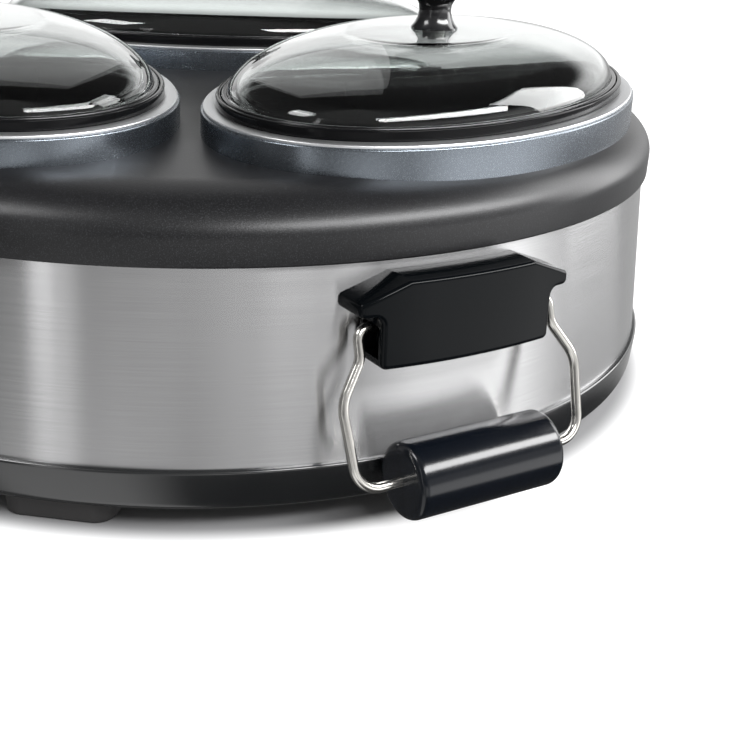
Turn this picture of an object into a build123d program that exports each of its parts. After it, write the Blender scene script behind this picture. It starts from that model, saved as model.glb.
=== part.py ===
"""Triple slow cooker: three oval pots in one round heated body, with a swinging bail at each side.

Millimetres. The origin is on the body's axis, on the table that the feet stand on. +Z is up and
the control panel faces -Y. Angles go round the axis from the front, counter-clockwise from above.
"""

import os
from math import cos, hypot, radians, sin, sqrt

from build123d import *

os.makedirs("parts", exist_ok=True)

# Heights of the body, from the table up
foot_height = 8.3
base_height = 16.2
band_height = 71.8
collar_height = 9.5
deck_rise = 24.1

# Radii of the body
band_radius = 205.0
band_draw_in = 3.9
band_wall = 0.8
base_rim = 2.0
cover_overhang = 2.3

# Pots: one at the front, two behind it
pot_angles = {"front": 0.0, "right": 120.0, "left": 240.0}
pot_circle = 113.2
pot_length = 248.8
pot_width = 159.0

# Rings, wells and stoneware, each inside the last
ring_width = 8.0
ring_thickness = 1.4
collar_overhang = 1.0
collar_wall = 3.2
ledge_width = 3.8
ledge_thickness = 1.5
well_wall = 1.0
well_flange = 1.2
well_round = 6.0
well_floor_gap = 22.0
crock_gap = 2.4
crock_wall = 6.0
crock_taper = 7.0
crock_floor_gap = 4.0
crock_rim_height = 4.0
crock_rim_overlap = 3.0
crock_rim_step = 1.8
heater_height = 42.0
heater_thickness = 3.0
heater_lift = 24.0

# Lids
lid_clearance = 0.4
lid_rim_width = 3.2
lid_rim_height = 2.3
lid_rise = 21.0
glass_thickness = 3.5
lid_flat_radius = 13.0
lid_knob_radius = 16.0
lid_knob_height = 23.0

# Handles
handle_angle = 88.7
bracket_proud = 11.3
bracket_height = 30.9
bracket_drop = 3.4
bracket_half = 43.8
block_half = 35.6
crown_half = 25.9
crown_rise = 7.0
wing_thickness = 4.8
pivot_depth = 11.4
pivot_rise = 13.2
wire_radius = 1.85
wire_clearance = 0.06
grip_radius = 14.2
grip_half = 31.0
grip_drop = 1.5
grip_rest_gap = 0.3

# Control panel and dials
panel_half_angle = 21.0
panel_rise = 7.0
panel_height = 59.5
panel_proud = 7.0
panel_wall = 2.5
dial_angles = {"left": -13.0, "middle": 0.0, "right": 13.0}
dial_rise = 24.5
dial_radius = 17.0
dial_gap = 0.6
shaft_radius = 3.0
shaft_clearance = 0.05
lens_rise = 25.5
lens_radius = 3.0

# Fasteners
screw_radius = 1.95
stud_radius = 3.0
hole_clearance = 0.2

# Worked out from the sizes above
base_bottom = foot_height
ledge_height = foot_height + base_height
lip_height = ledge_height + band_height
deck_height = lip_height + deck_rise
collar_top = deck_height + collar_height
ring_top = collar_top + ring_thickness
band_slope = band_draw_in / band_height
cover_radius = band_radius - band_draw_in + cover_overhang
ring_size = (pot_length / 2, pot_width / 2)
panel_radius = band_radius + panel_proud
panel_bottom = ledge_height + panel_rise
panel_top = panel_bottom + panel_height
dial_height = panel_bottom + dial_rise
lens_height = dial_height + lens_rise
bracket_front = band_radius + bracket_proud
crown_top = lip_height - bracket_drop
wing_top = crown_top - crown_rise
wing_bottom = wing_top - wing_thickness
block_bottom = crown_top - bracket_height
pivot_radius = bracket_front - pivot_depth
pivot_height = block_bottom + pivot_rise
grip_height = ledge_height - grip_drop


def around(angle, radius, height):
    """Point at an angle from the front, a distance from the axis and a height."""
    turn = radians(angle)
    return (radius * sin(turn), -radius * cos(turn), height)


def pot_plane(angle, height):
    """Level plane at a pot's centre, with X along the pot's length."""
    turn = radians(angle)
    return Plane(around(angle, pot_circle, height), x_dir=(cos(turn), sin(turn), 0), z_dir=(0, 0, 1))


def facing_plane(angle, radius, height):
    """Upright plane square to a radius: X to the right and Y up, seen from outside."""
    turn = radians(angle)
    outward = (sin(turn), -cos(turn), 0)
    return Plane(around(angle, radius, height), x_dir=(cos(turn), sin(turn), 0), z_dir=outward)


def radial_plane(angle):
    """Upright plane through the axis: X outwards and Y up."""
    turn = radians(angle)
    return Plane((0, 0, 0), x_dir=(sin(turn), -cos(turn), 0), z_dir=(-cos(turn), -sin(turn), 0))


def band_at(height):
    """Outer radius of the steel band at a height."""
    return band_radius - band_slope * (height - ledge_height)


def oval(inset):
    """Half length and half width of the pot's oval, drawn in by an inset."""
    return (ring_size[0] - inset, ring_size[1] - inset)


def corners(sketch, *points):
    """Corners of a sketch that lie nearest to the given points."""
    return [sketch.vertices().sort_by_distance(Vector(x, y, 0))[0] for x, y in points]


def save(part, name):
    """Label a piece and write it out."""
    part.label = name
    export_step(part, f"parts/{name}.step")


# Base pan: a dish with a proud rim that the steel band stands on, and an upstand inside it
base_floor = 2.5
base_round = 4.0
base_side_draft = 1.5
base_rim_round = 1.2
upstand_height = 10.0
upstand_thickness = 3.0
band_seat = band_radius + base_rim
upstand_outer = band_radius - band_wall - hole_clearance
upstand_inner = upstand_outer - upstand_thickness
upstand_top = ledge_height + upstand_height
stud_hole = stud_radius + hole_clearance
foot_inset = 20.0
foot_circle = band_radius - foot_inset
foot_angles = [48.0, 132.0, 228.0, 312.0]
foot_names = ["foot_front_right", "foot_rear_right", "foot_rear_left", "foot_front_left"]
vent_circle = 30.0
vent_count = 8
vent_length = 14.0
vent_width = 4.0

with BuildPart() as base_pan:
    with BuildSketch(Plane.XZ) as base_profile:
        with BuildLine():
            Polyline(
                (0, base_bottom),
                (band_seat - base_side_draft, base_bottom),
                (band_seat, ledge_height),
                (upstand_outer, ledge_height),
                (band_at(upstand_top) - band_wall - hole_clearance, upstand_top),
                (upstand_inner, upstand_top),
                (upstand_inner, base_bottom + base_floor),
                (0, base_bottom + base_floor),
                close=True,
            )
        make_face()
        fillet(corners(base_profile, (band_seat - base_side_draft, base_bottom)), base_round)
        fillet(corners(base_profile, (band_seat, ledge_height)), base_rim_round)
        fillet(corners(base_profile, (upstand_inner, base_bottom + base_floor)), base_floor)
    revolve(axis=Axis.Z)
    with BuildSketch(Plane.XY.offset(base_bottom)):
        with Locations(*[around(a, pot_circle, 0) for a in pot_angles.values()]):
            Circle(stud_hole)
        with Locations(*[around(a, foot_circle, 0) for a in foot_angles]):
            Circle(screw_radius + hole_clearance)
        with PolarLocations(vent_circle, vent_count):
            SlotOverall(vent_length, vent_width)
    extrude(amount=base_floor, mode=Mode.SUBTRACT)
save(base_pan.part, "base_pan")

# Feet: tapered rubber pads with a countersunk screw each
foot_length = 42.0
foot_depth = 34.0
foot_taper = 2.0
foot_corner = 8.0
foot_corner_below = foot_corner - foot_taper / 2
foot_edge = 1.2
foot_sink = 3.0
screw_head = 3.8
screw_head_height = 2.0
screw_reach = 4.0

for name, angle in zip(foot_names, foot_angles):
    turn = radians(angle)
    foot_plane = Plane(around(angle, foot_circle, 0), x_dir=(cos(turn), sin(turn), 0), z_dir=(0, 0, 1))
    with BuildPart() as foot:
        with BuildSketch(foot_plane):
            RectangleRounded(foot_length - foot_taper, foot_depth - foot_taper, foot_corner_below)
        with BuildSketch(foot_plane.offset(foot_height)):
            RectangleRounded(foot_length, foot_depth, foot_corner)
        loft()
        fillet(foot.faces().sort_by(Axis.Z)[0].edges(), foot_edge)
        with BuildSketch(foot_plane):
            Circle(screw_head + hole_clearance)
        extrude(amount=foot_sink, mode=Mode.SUBTRACT)
        with BuildSketch(foot_plane):
            Circle(screw_radius + hole_clearance / 2)
        extrude(amount=foot_height, mode=Mode.SUBTRACT)
    save(foot.part, name)

with BuildPart() as foot_screws:
    for angle in foot_angles:
        with BuildSketch(Plane(around(angle, foot_circle, foot_sink - screw_head_height))):
            Circle(screw_head)
        extrude(amount=screw_head_height)
        with BuildSketch(Plane(around(angle, foot_circle, foot_sink))):
            Circle(screw_radius)
        extrude(amount=foot_height - foot_sink + base_floor + screw_reach)
save(foot_screws.part, "foot_screws")

# Steel band: a rolled sheet, a little narrower at its top, tucked under the top cover's lip
band_tuck = 3.0
cut_reach = 15.0
window_margin_angle = 3.0
window_margin = 6.5
window_half_angle = panel_half_angle - window_margin_angle
window_bottom = panel_bottom + window_margin
window_top = panel_top - window_margin
gland_rise = 20.5
gland_height = ledge_height + gland_rise
gland_radius = 7.0
bracket_screw_spread = 18.0
bracket_screw_height = block_bottom + bracket_height / 2
bracket_screw_places = [(x, bracket_screw_height) for x in (-bracket_screw_spread, bracket_screw_spread)]
screw_hole = screw_radius + hole_clearance
handle_sides = {"right": handle_angle, "left": -handle_angle}

with BuildPart() as steel_band:
    with BuildSketch(Plane.XZ):
        with BuildLine():
            Polyline(
                (band_radius, ledge_height),
                (band_at(lip_height + band_tuck), lip_height + band_tuck),
                (band_at(lip_height + band_tuck) - band_wall, lip_height + band_tuck),
                (band_radius - band_wall, ledge_height),
                close=True,
            )
        make_face()
    revolve(axis=Axis.Z)
    with BuildSketch(radial_plane(-window_half_angle)):
        with BuildLine():
            Polyline(
                (band_radius - cut_reach, window_bottom),
                (band_radius + cut_reach, window_bottom),
                (band_radius + cut_reach, window_top),
                (band_radius - cut_reach, window_top),
                close=True,
            )
        make_face()
    revolve(axis=Axis.Z, revolution_arc=2 * window_half_angle, mode=Mode.SUBTRACT)
    for angle in handle_sides.values():
        with BuildSketch(facing_plane(angle, band_radius - cut_reach, 0)):
            with Locations(*bracket_screw_places):
                Circle(screw_hole)
        extrude(amount=2 * cut_reach, mode=Mode.SUBTRACT)
    with BuildSketch(facing_plane(180, band_radius - cut_reach, gland_height)):
        Circle(gland_radius + hole_clearance)
    extrude(amount=2 * cut_reach, mode=Mode.SUBTRACT)
save(steel_band.part, "steel_band")

# Top cover: lip, rolled shoulder, deck, and three oval collars with a ledge for each well
cover_wall = 2.5
lip_overhang = 2.1
lip_radius = band_at(lip_height) + lip_overhang
shoulder_width = 25.4
lip_depth = 8.8
shoulder_base = lip_height + lip_depth
shoulder_rise = deck_height - shoulder_base
collar_drop = 14.0
collar_size = (ring_size[0] + collar_overhang, ring_size[1] + collar_overhang)
collar_inner = (collar_size[0] - collar_wall, collar_size[1] - collar_wall)
hole_size = (collar_inner[0] - ledge_width, collar_inner[1] - ledge_width)
ledge_top = collar_top - well_flange

with BuildPart() as top_cover:
    with BuildSketch(Plane.XZ):
        with BuildLine():
            bottom_out = (lip_radius, lip_height)
            widest = (cover_radius, shoulder_base)
            inner_foot = (band_at(lip_height) + hole_clearance, lip_height)
            inner_side = (band_at(lip_height) + hole_clearance, shoulder_base)
            arc_in = shoulder_width - (cover_radius - inner_side[0])
            Line(bottom_out, widest)
            EllipticalCenterArc(
                (cover_radius - shoulder_width, shoulder_base),
                shoulder_width,
                shoulder_rise,
                start_angle=0,
                arc_size=90,
            )
            Line((cover_radius - shoulder_width, deck_height), (0, deck_height))
            Line((0, deck_height), (0, deck_height - cover_wall))
            Line((0, deck_height - cover_wall), (cover_radius - shoulder_width, deck_height - cover_wall))
            EllipticalCenterArc(
                (cover_radius - shoulder_width, shoulder_base),
                arc_in,
                shoulder_rise - cover_wall,
                start_angle=0,
                arc_size=90,
            )
            Line(inner_side, inner_foot)
            Line(inner_foot, bottom_out)
        make_face()
    revolve(axis=Axis.Z)
    for angle in pot_angles.values():
        with BuildSketch(pot_plane(angle, deck_height - collar_drop)):
            Ellipse(*collar_size)
            Ellipse(*hole_size, mode=Mode.SUBTRACT)
        extrude(amount=collar_drop + collar_height)
    for angle in pot_angles.values():
        with BuildSketch(pot_plane(angle, deck_height - collar_drop)):
            Ellipse(*hole_size)
        extrude(amount=collar_drop + collar_height, mode=Mode.SUBTRACT)
        with BuildSketch(pot_plane(angle, ledge_top)):
            Ellipse(*collar_inner)
        extrude(amount=well_flange, mode=Mode.SUBTRACT)
        with BuildSketch(pot_plane(angle, deck_height - collar_drop)):
            Ellipse(*collar_inner)
        extrude(amount=collar_drop + collar_height - well_flange - ledge_thickness, mode=Mode.SUBTRACT)
save(top_cover.part, "top_cover")

# Rings, wells, heaters and stoneware, the same for each pot
ring_edge = 0.55
heater_split = 5.0
ear_width = 3.0
ear_length = 10.0
ear_spread = 4.0
ear_lift = 0.4
cavity_round = 8.0
crock_round = 9.0
crock_edge = 1.2
well_inner = oval(ring_width)
well_outer = oval(ring_width - well_wall)
flange_size = (collar_inner[0] - hole_clearance, collar_inner[1] - hole_clearance)
well_bottom = base_bottom + base_floor + well_floor_gap
heater_size = oval(ring_width - well_wall - heater_thickness)
heater_bottom = well_bottom + heater_lift
ear_centre = well_outer[1] + ear_lift + ear_length / 2
crock_top_size = oval(ring_width + crock_gap)
crock_bottom_size = oval(ring_width + crock_gap + crock_taper)
crock_bottom = well_bottom + well_wall + crock_floor_gap
crock_rim_size = oval(ring_width - crock_rim_overlap)
crock_top = ring_top + crock_rim_height
seat_size = oval(ring_width + crock_rim_step - crock_rim_overlap)
seat_height = crock_top - lid_rim_height + lid_clearance
cavity_top = oval(ring_width + crock_gap + crock_wall)
cavity_bottom = oval(ring_width + crock_gap + crock_wall + crock_taper)

for side, angle in pot_angles.items():
    with BuildPart() as rim_ring:
        with BuildSketch(pot_plane(angle, collar_top)):
            Ellipse(*ring_size)
            Ellipse(*well_inner, mode=Mode.SUBTRACT)
        extrude(amount=ring_thickness)
        fillet(rim_ring.faces().sort_by(Axis.Z)[-1].edges(), ring_edge)
    save(rim_ring.part, f"rim_ring_{side}")

    with BuildPart() as well_space:
        with BuildSketch(pot_plane(angle, well_bottom + well_wall)):
            Ellipse(*well_inner)
        extrude(amount=collar_top - well_bottom)
        fillet(well_space.faces().sort_by(Axis.Z)[0].edges(), well_round - well_wall)

    with BuildPart() as heating_well:
        with BuildSketch(pot_plane(angle, well_bottom)):
            Ellipse(*well_outer)
        extrude(amount=collar_top - well_bottom)
        fillet(heating_well.faces().sort_by(Axis.Z)[0].edges(), well_round)
        with BuildSketch(pot_plane(angle, ledge_top)):
            Ellipse(*flange_size)
        extrude(amount=well_flange)
        add(well_space.part, mode=Mode.SUBTRACT)
    save(heating_well.part, f"heating_well_{side}")

    with BuildPart() as heater_band:
        with BuildSketch(pot_plane(angle, heater_bottom)):
            Ellipse(*heater_size)
            Ellipse(*well_outer, mode=Mode.SUBTRACT)
            with Locations((0, heater_size[1] - heater_thickness / 2)):
                Rectangle(heater_split, 3 * heater_thickness, mode=Mode.SUBTRACT)
            with Locations((-ear_spread, ear_centre), (ear_spread, ear_centre)):
                Rectangle(ear_width, ear_length)
        extrude(amount=heater_height)
    save(heater_band.part, f"heater_band_{side}")

    with BuildPart() as cavity:
        with BuildSketch(pot_plane(angle, crock_bottom + crock_wall)):
            Ellipse(*cavity_bottom)
        with BuildSketch(pot_plane(angle, crock_top)):
            Ellipse(*cavity_top)
        loft(ruled=True)
        fillet(cavity.faces().sort_by(Axis.Z)[0].edges(), cavity_round)

    with BuildPart() as crock:
        with BuildSketch(pot_plane(angle, crock_bottom)):
            Ellipse(*crock_bottom_size)
        with BuildSketch(pot_plane(angle, ring_top)):
            Ellipse(*crock_top_size)
        loft(ruled=True)
        fillet(crock.faces().sort_by(Axis.Z)[0].edges(), crock_round)
        with BuildSketch(pot_plane(angle, ring_top)):
            Ellipse(*crock_rim_size)
        extrude(amount=crock_rim_height)
        fillet(crock.faces().sort_by(Axis.Z)[-1].edges(), crock_edge)
        add(cavity.part, mode=Mode.SUBTRACT)
        with BuildSketch(pot_plane(angle, seat_height)):
            Ellipse(*seat_size)
        extrude(amount=crock_rim_height, mode=Mode.SUBTRACT)
    save(crock.part, f"crock_{side}")

# Well studs run down from each well's floor and are drawn tight by a nut under the base
nut_height = 4.4
nut_radius = 5.5
stud_end = 0.6
thread_gap = 0.02

with BuildPart() as well_studs:
    for angle in pot_angles.values():
        with BuildSketch(Plane(around(angle, pot_circle, base_bottom - nut_height - stud_end))):
            Circle(stud_radius)
        extrude(amount=well_bottom - base_bottom + nut_height + stud_end)
save(well_studs.part, "well_studs")

with BuildPart() as stud_nuts:
    for angle in pot_angles.values():
        with BuildSketch(Plane(around(angle, pot_circle, base_bottom - nut_height))):
            RegularPolygon(nut_radius, 6)
            Circle(stud_radius + thread_gap, mode=Mode.SUBTRACT)
        extrude(amount=nut_height)
save(stud_nuts.part, "stud_nuts")

# Lids: a domed glass in a steel rim, with a knob held by a screw from below
rim_outer = (seat_size[0] - lid_clearance, seat_size[1] - lid_clearance)
rim_inner = (rim_outer[0] - lid_rim_width, rim_outer[1] - lid_rim_width)
glass_lip = 1.2
glass_sink = 1.0
glass_clearance = 0.05
glass_base = seat_height + lid_rim_height - glass_sink
lid_rim_edge = 0.5
lid_hole = screw_radius + 2 * hole_clearance
lid_screw_head = 4.8
lid_screw_head_height = 2.2
lid_screw_end = 1.6
glass_size = (rim_inner[0] + glass_lip, rim_inner[1] + glass_lip)
dome_steps = [0.0, 16.0, 34.0, 52.0, 70.0]
dome_top = glass_base + lid_rise
glass_inside = dome_top - glass_thickness
knob_seat = 8.0
knob_foot = (knob_seat + 2.0, 2.5)
knob_waist = (knob_seat - 1.5, lid_knob_height * 0.4)
knob_widest = (lid_knob_radius, lid_knob_height * 0.72)
knob_shoulder = (lid_knob_radius * 0.86, lid_knob_height * 0.93)
knob_crown = (lid_knob_radius * 0.55, lid_knob_height)
knob_hole = 12.0
screw_bite = 0.05


def dome_ovals(inset):
    """Half sizes and heights of the ovals that a lid's dome rises through, drawn in by an inset."""
    ovals = []
    for step in dome_steps:
        share = sin(radians(step)) / sin(radians(dome_steps[-1]))
        width = cos(radians(step))
        ovals.append(
            (
                lid_flat_radius + (glass_size[0] - inset - lid_flat_radius) * width,
                lid_flat_radius + (glass_size[1] - inset - lid_flat_radius) * width,
                glass_base + share * (lid_rise - inset),
            )
        )
    return ovals


for side, angle in pot_angles.items():
    with BuildPart() as lid_rim:
        with BuildSketch(pot_plane(angle, seat_height)):
            Ellipse(*rim_outer)
            Ellipse(*rim_inner, mode=Mode.SUBTRACT)
        extrude(amount=lid_rim_height)
        with BuildSketch(pot_plane(angle, glass_base)):
            Ellipse(glass_size[0] + glass_clearance, glass_size[1] + glass_clearance)
        extrude(amount=lid_rim_height, mode=Mode.SUBTRACT)
        fillet(lid_rim.faces().sort_by(Axis.Z)[-1].edges().sort_by(SortBy.LENGTH)[-1], lid_rim_edge)
    save(lid_rim.part, f"lid_rim_{side}")

    with BuildPart() as hollow:
        for long_half, short_half, height in dome_ovals(glass_thickness):
            with BuildSketch(pot_plane(angle, height)):
                Ellipse(long_half, short_half)
        loft()

    with BuildPart() as lid_glass:
        for long_half, short_half, height in dome_ovals(0):
            with BuildSketch(pot_plane(angle, height)):
                Ellipse(long_half, short_half)
        loft()
        add(hollow.part, mode=Mode.SUBTRACT)
        with BuildSketch(pot_plane(angle, glass_base)):
            Circle(lid_hole)
        extrude(amount=2 * lid_rise, mode=Mode.SUBTRACT)
    save(lid_glass.part, f"lid_glass_{side}")

    knob_plane = Plane(around(angle, pot_circle, dome_top), x_dir=(1, 0, 0), z_dir=(0, -1, 0))
    with BuildPart() as lid_knob:
        with BuildSketch(knob_plane):
            with BuildLine():
                Line((0, 0), (knob_foot[0], 0))
                Line((knob_foot[0], 0), (knob_seat, knob_foot[1]))
                Spline(
                    (knob_seat, knob_foot[1]),
                    knob_waist,
                    knob_widest,
                    tangents=((-0.2, 1), (1, 0.35)),
                )
                ThreePointArc(knob_widest, knob_shoulder, knob_crown)
                Line(knob_crown, (0, lid_knob_height))
                Line((0, lid_knob_height), (0, 0))
            make_face()
        revolve(axis=Axis(around(angle, pot_circle, 0), (0, 0, 1)))
        with BuildSketch(Plane(around(angle, pot_circle, dome_top))):
            Circle(screw_radius + screw_bite)
        extrude(amount=knob_hole, mode=Mode.SUBTRACT)
    save(lid_knob.part, f"lid_knob_{side}")

    with BuildPart() as lid_screw:
        with BuildSketch(Plane(around(angle, pot_circle, glass_inside - lid_screw_head_height))):
            Circle(lid_screw_head)
        extrude(amount=lid_screw_head_height)
        with BuildSketch(Plane(around(angle, pot_circle, glass_inside))):
            Circle(screw_radius)
        extrude(amount=glass_thickness + knob_hole - lid_screw_end)
    save(lid_screw.part, f"lid_screw_{side}")

# Control panel: a curved shell on the front of the band, open behind to the switches
panel_frame = 4.0
panel_corner = 10.0
panel_edge = 1.8
panel_spare_angle = 4.0
pocket_half_angle = window_half_angle + 1.0
bushing_radius = 4.3
with BuildPart() as control_panel:
    with BuildSketch(radial_plane(-panel_half_angle - panel_spare_angle)):
        with BuildLine():
            Polyline(
                (band_at(panel_bottom), panel_bottom),
                (panel_radius, panel_bottom),
                (panel_radius, panel_top),
                (band_at(panel_top), panel_top),
                close=True,
            )
        make_face()
    revolve(axis=Axis.Z, revolution_arc=2 * (panel_half_angle + panel_spare_angle))
    with BuildSketch(facing_plane(0, 0, (panel_bottom + panel_top) / 2)):
        RectangleRounded(
            2 * panel_radius * sin(radians(panel_half_angle)), panel_top - panel_bottom, panel_corner
        )
    extrude(amount=panel_radius + cut_reach, mode=Mode.INTERSECT)
    front_face = control_panel.faces().filter_by(GeomType.CYLINDER).sort_by(SortBy.AREA)[-1]
    fillet(front_face.edges(), panel_edge)
    with BuildSketch(radial_plane(-pocket_half_angle)):
        with BuildLine():
            Polyline(
                (band_radius - cut_reach, panel_bottom + panel_frame),
                (panel_radius - panel_wall, panel_bottom + panel_frame),
                (panel_radius - panel_wall, panel_top - panel_frame),
                (band_radius - cut_reach, panel_top - panel_frame),
                close=True,
            )
        make_face()
    revolve(axis=Axis.Z, revolution_arc=2 * pocket_half_angle, mode=Mode.SUBTRACT)
    for angle in dial_angles.values():
        with BuildSketch(facing_plane(angle, band_radius, 0)):
            with Locations((0, dial_height)):
                Circle(bushing_radius + hole_clearance)
            with Locations((0, lens_height)):
                Circle(lens_radius + hole_clearance)
        extrude(amount=cut_reach, mode=Mode.SUBTRACT)
save(control_panel.part, "control_panel")

# Dials, their shafts and switches, and the pilot lenses
dial_skirt = 3.0
dial_depth = 15.0
dial_bar = 9.0
dial_bar_length = 31.0
switch_width = 24.0
switch_tall = 26.0
switch_depth = 13.0
switch_corner = 2.0
blade_width = 6.3
blade_thickness = 0.8
blade_length = 5.0
blade_places = [(-6.0, 7.0), (6.0, 7.0)]
dial_knurls = 24
knurl_radius = 0.9
dial_bar_taper = 4.0
dial_edge = 1.2
dial_cap = 4.0
shaft_end_gap = 0.3
switch_gap = 0.5
switch_front = panel_radius - panel_wall - switch_gap
shaft_inner = switch_front - switch_depth + dial_cap
shaft_outer = panel_radius + dial_gap + dial_depth - dial_cap
flat_depth = 1.0


def shaft_outline(extra):
    """Round shaft with one flat, grown by a clearance."""
    Circle(shaft_radius + extra)
    with Locations((0, shaft_radius - flat_depth + extra + shaft_radius)):
        Rectangle(4 * shaft_radius, 2 * shaft_radius, mode=Mode.SUBTRACT)


for side, angle in dial_angles.items():
    with BuildPart() as switch:
        with BuildSketch(facing_plane(angle, switch_front - switch_depth, dial_height)):
            RectangleRounded(switch_width, switch_tall, switch_corner)
        extrude(amount=switch_depth)
        with BuildSketch(facing_plane(angle, switch_front, dial_height)):
            Circle(bushing_radius)
        extrude(amount=panel_radius - switch_front)
        with BuildSketch(facing_plane(angle, shaft_inner, dial_height)):
            Circle(shaft_radius + shaft_clearance)
        extrude(amount=2 * cut_reach, mode=Mode.SUBTRACT)
        with BuildSketch(facing_plane(angle, switch_front - switch_depth - blade_length, dial_height)):
            with Locations(*blade_places):
                Rectangle(blade_width, blade_thickness)
        extrude(amount=blade_length)
    save(switch.part, f"switch_{side}")

    with BuildPart() as shaft:
        with BuildSketch(facing_plane(angle, shaft_inner + shaft_end_gap, dial_height)):
            Circle(shaft_radius)
        extrude(amount=panel_radius - shaft_inner - shaft_end_gap)
        with BuildSketch(facing_plane(angle, panel_radius, dial_height)):
            shaft_outline(0)
        extrude(amount=shaft_outer - panel_radius - shaft_end_gap)
    save(shaft.part, f"dial_shaft_{side}")

    with BuildPart() as dial:
        with BuildSketch(facing_plane(angle, panel_radius + dial_gap, dial_height)):
            Circle(dial_radius)
            with PolarLocations(dial_radius, dial_knurls):
                Circle(knurl_radius, mode=Mode.SUBTRACT)
        extrude(amount=dial_skirt)
        with BuildSketch(facing_plane(angle, panel_radius + dial_gap + dial_skirt, dial_height)):
            SlotOverall(dial_bar_length, dial_bar, rotation=90)
        extrude(amount=dial_depth - dial_skirt, taper=dial_bar_taper)
        outward = Axis((0, 0, 0), facing_plane(angle, 1, 0).z_dir)
        fillet(dial.faces().sort_by(outward)[-1].edges(), dial_edge)
        with BuildSketch(facing_plane(angle, panel_radius + dial_gap, dial_height)):
            shaft_outline(thread_gap)
        extrude(amount=dial_depth - dial_cap, mode=Mode.SUBTRACT)
    save(dial.part, f"dial_{side}")

lens_flange = 1.0
lens_gap = 0.1
lens_proud = 1.1
lens_edge = 0.8
lens_seat = panel_radius - panel_wall - lens_gap
with BuildPart() as lenses:
    for angle in dial_angles.values():
        with BuildSketch(facing_plane(angle, lens_seat - lens_flange, lens_height)):
            Circle(lens_radius + lens_flange)
        extrude(amount=lens_flange)
        with BuildSketch(facing_plane(angle, lens_seat, lens_height)):
            Circle(lens_radius)
        extrude(amount=panel_wall + lens_gap + lens_proud)
        outward = Axis((0, 0, 0), facing_plane(angle, 1, 0).z_dir)
        fillet(lenses.faces().filter_by(GeomType.PLANE).sort_by(outward)[-1].edges(), lens_edge)
save(lenses.part, "indicator_lenses")

# Handle brackets: a moulded block with a sloped crown and a wing over each end of the bail
bracket_round = 2.0
block_corner = 2.5
wing_fillet = 3.0
crown_round = 2.2
pivot_hole_depth = 8.0
screw_cover = 3.0
bracket_screw_length = 11.0
seat_gap = 0.1
bracket_sink = 20.0
bracket_back = band_radius - bracket_sink

for side, angle in handle_sides.items():
    with BuildPart() as bracket:
        with BuildSketch(facing_plane(angle, bracket_back, 0)) as outline:
            with BuildLine():
                Polyline(
                    (-block_half, block_bottom),
                    (block_half, block_bottom),
                    (block_half, wing_bottom),
                    (bracket_half, wing_bottom),
                    (bracket_half, wing_top),
                    (crown_half, crown_top),
                    (-crown_half, crown_top),
                    (-bracket_half, wing_top),
                    (-bracket_half, wing_bottom),
                    (-block_half, wing_bottom),
                    close=True,
                )
            make_face()
            for height, size in ((block_bottom, block_corner), (wing_bottom, wing_fillet)):
                fillet(corners(outline, (-block_half, height), (block_half, height)), size)
            fillet(
                corners(
                    outline,
                    (-bracket_half, wing_bottom),
                    (bracket_half, wing_bottom),
                    (-bracket_half, wing_top),
                    (bracket_half, wing_top),
                    (-crown_half, crown_top),
                    (crown_half, crown_top),
                ),
                crown_round,
            )
        extrude(amount=bracket_front - bracket_back + cut_reach)
        with BuildSketch():
            Circle(bracket_front)
        extrude(amount=lip_height, mode=Mode.INTERSECT)
        front_face = bracket.faces().filter_by(GeomType.CYLINDER).sort_by(SortBy.AREA)[-1]
        fillet(front_face.edges(), bracket_round)
        with BuildSketch(Plane.XZ):
            with BuildLine():
                Polyline(
                    (0, 0),
                    (band_at(0), 0),
                    (band_at(2 * crown_top), 2 * crown_top),
                    (0, 2 * crown_top),
                    close=True,
                )
            make_face()
        revolve(axis=Axis.Z, mode=Mode.SUBTRACT)
        with BuildSketch(facing_plane(angle, bracket_back, 0)):
            with Locations(*bracket_screw_places):
                Circle(screw_radius + screw_bite)
        extrude(amount=bracket_front - screw_cover - bracket_back, mode=Mode.SUBTRACT)
        pivot = around(angle, pivot_radius, pivot_height)
        side_plane = Plane(pivot, x_dir=(0, 0, 1), z_dir=facing_plane(angle, 1, 0).x_dir)
        for reach in (block_half - pivot_hole_depth, -block_half):
            with BuildSketch(side_plane.offset(reach)):
                Circle(wire_radius + wire_clearance)
            extrude(amount=pivot_hole_depth, mode=Mode.SUBTRACT)
    save(bracket.part, f"handle_bracket_{side}")

with BuildPart() as bracket_screws:
    for angle in handle_sides.values():
        for across, height in bracket_screw_places:
            inner = band_at(height + screw_head) - band_wall
            seat = sqrt(inner**2 - (abs(across) + screw_head) ** 2) - seat_gap
            with BuildSketch(facing_plane(angle, seat, 0)):
                with Locations((across, height)):
                    Circle(screw_radius)
            extrude(amount=bracket_screw_length)
            with BuildSketch(facing_plane(angle, seat - screw_head_height, 0)):
                with Locations((across, height)):
                    Circle(screw_head)
            extrude(amount=screw_head_height)
save(bracket_screws.part, "bracket_screws")

# Bails: one bent wire each, hung in the bracket's sides, with a grip that turns on its lower run
grip_axis_radius = band_seat + grip_radius + grip_rest_gap
bail_drop = pivot_height - grip_height
bail_run = hypot(bail_drop, grip_axis_radius - pivot_radius)
tilt_out = (grip_axis_radius - pivot_radius) / bail_run
tilt_down = bail_drop / bail_run
bail_neck = block_half + 5.3
bail_waist = 10.3
bail_flare = 24.2
bail_half = bail_neck + 9.3
bail_foot = bail_half - 2.1
bail_end_gap = 0.5
bend_radii = [4.5, 9.0, 14.0, 9.5, 9.5, 14.0, 9.0, 4.5]
grip_round = 3.0

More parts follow.
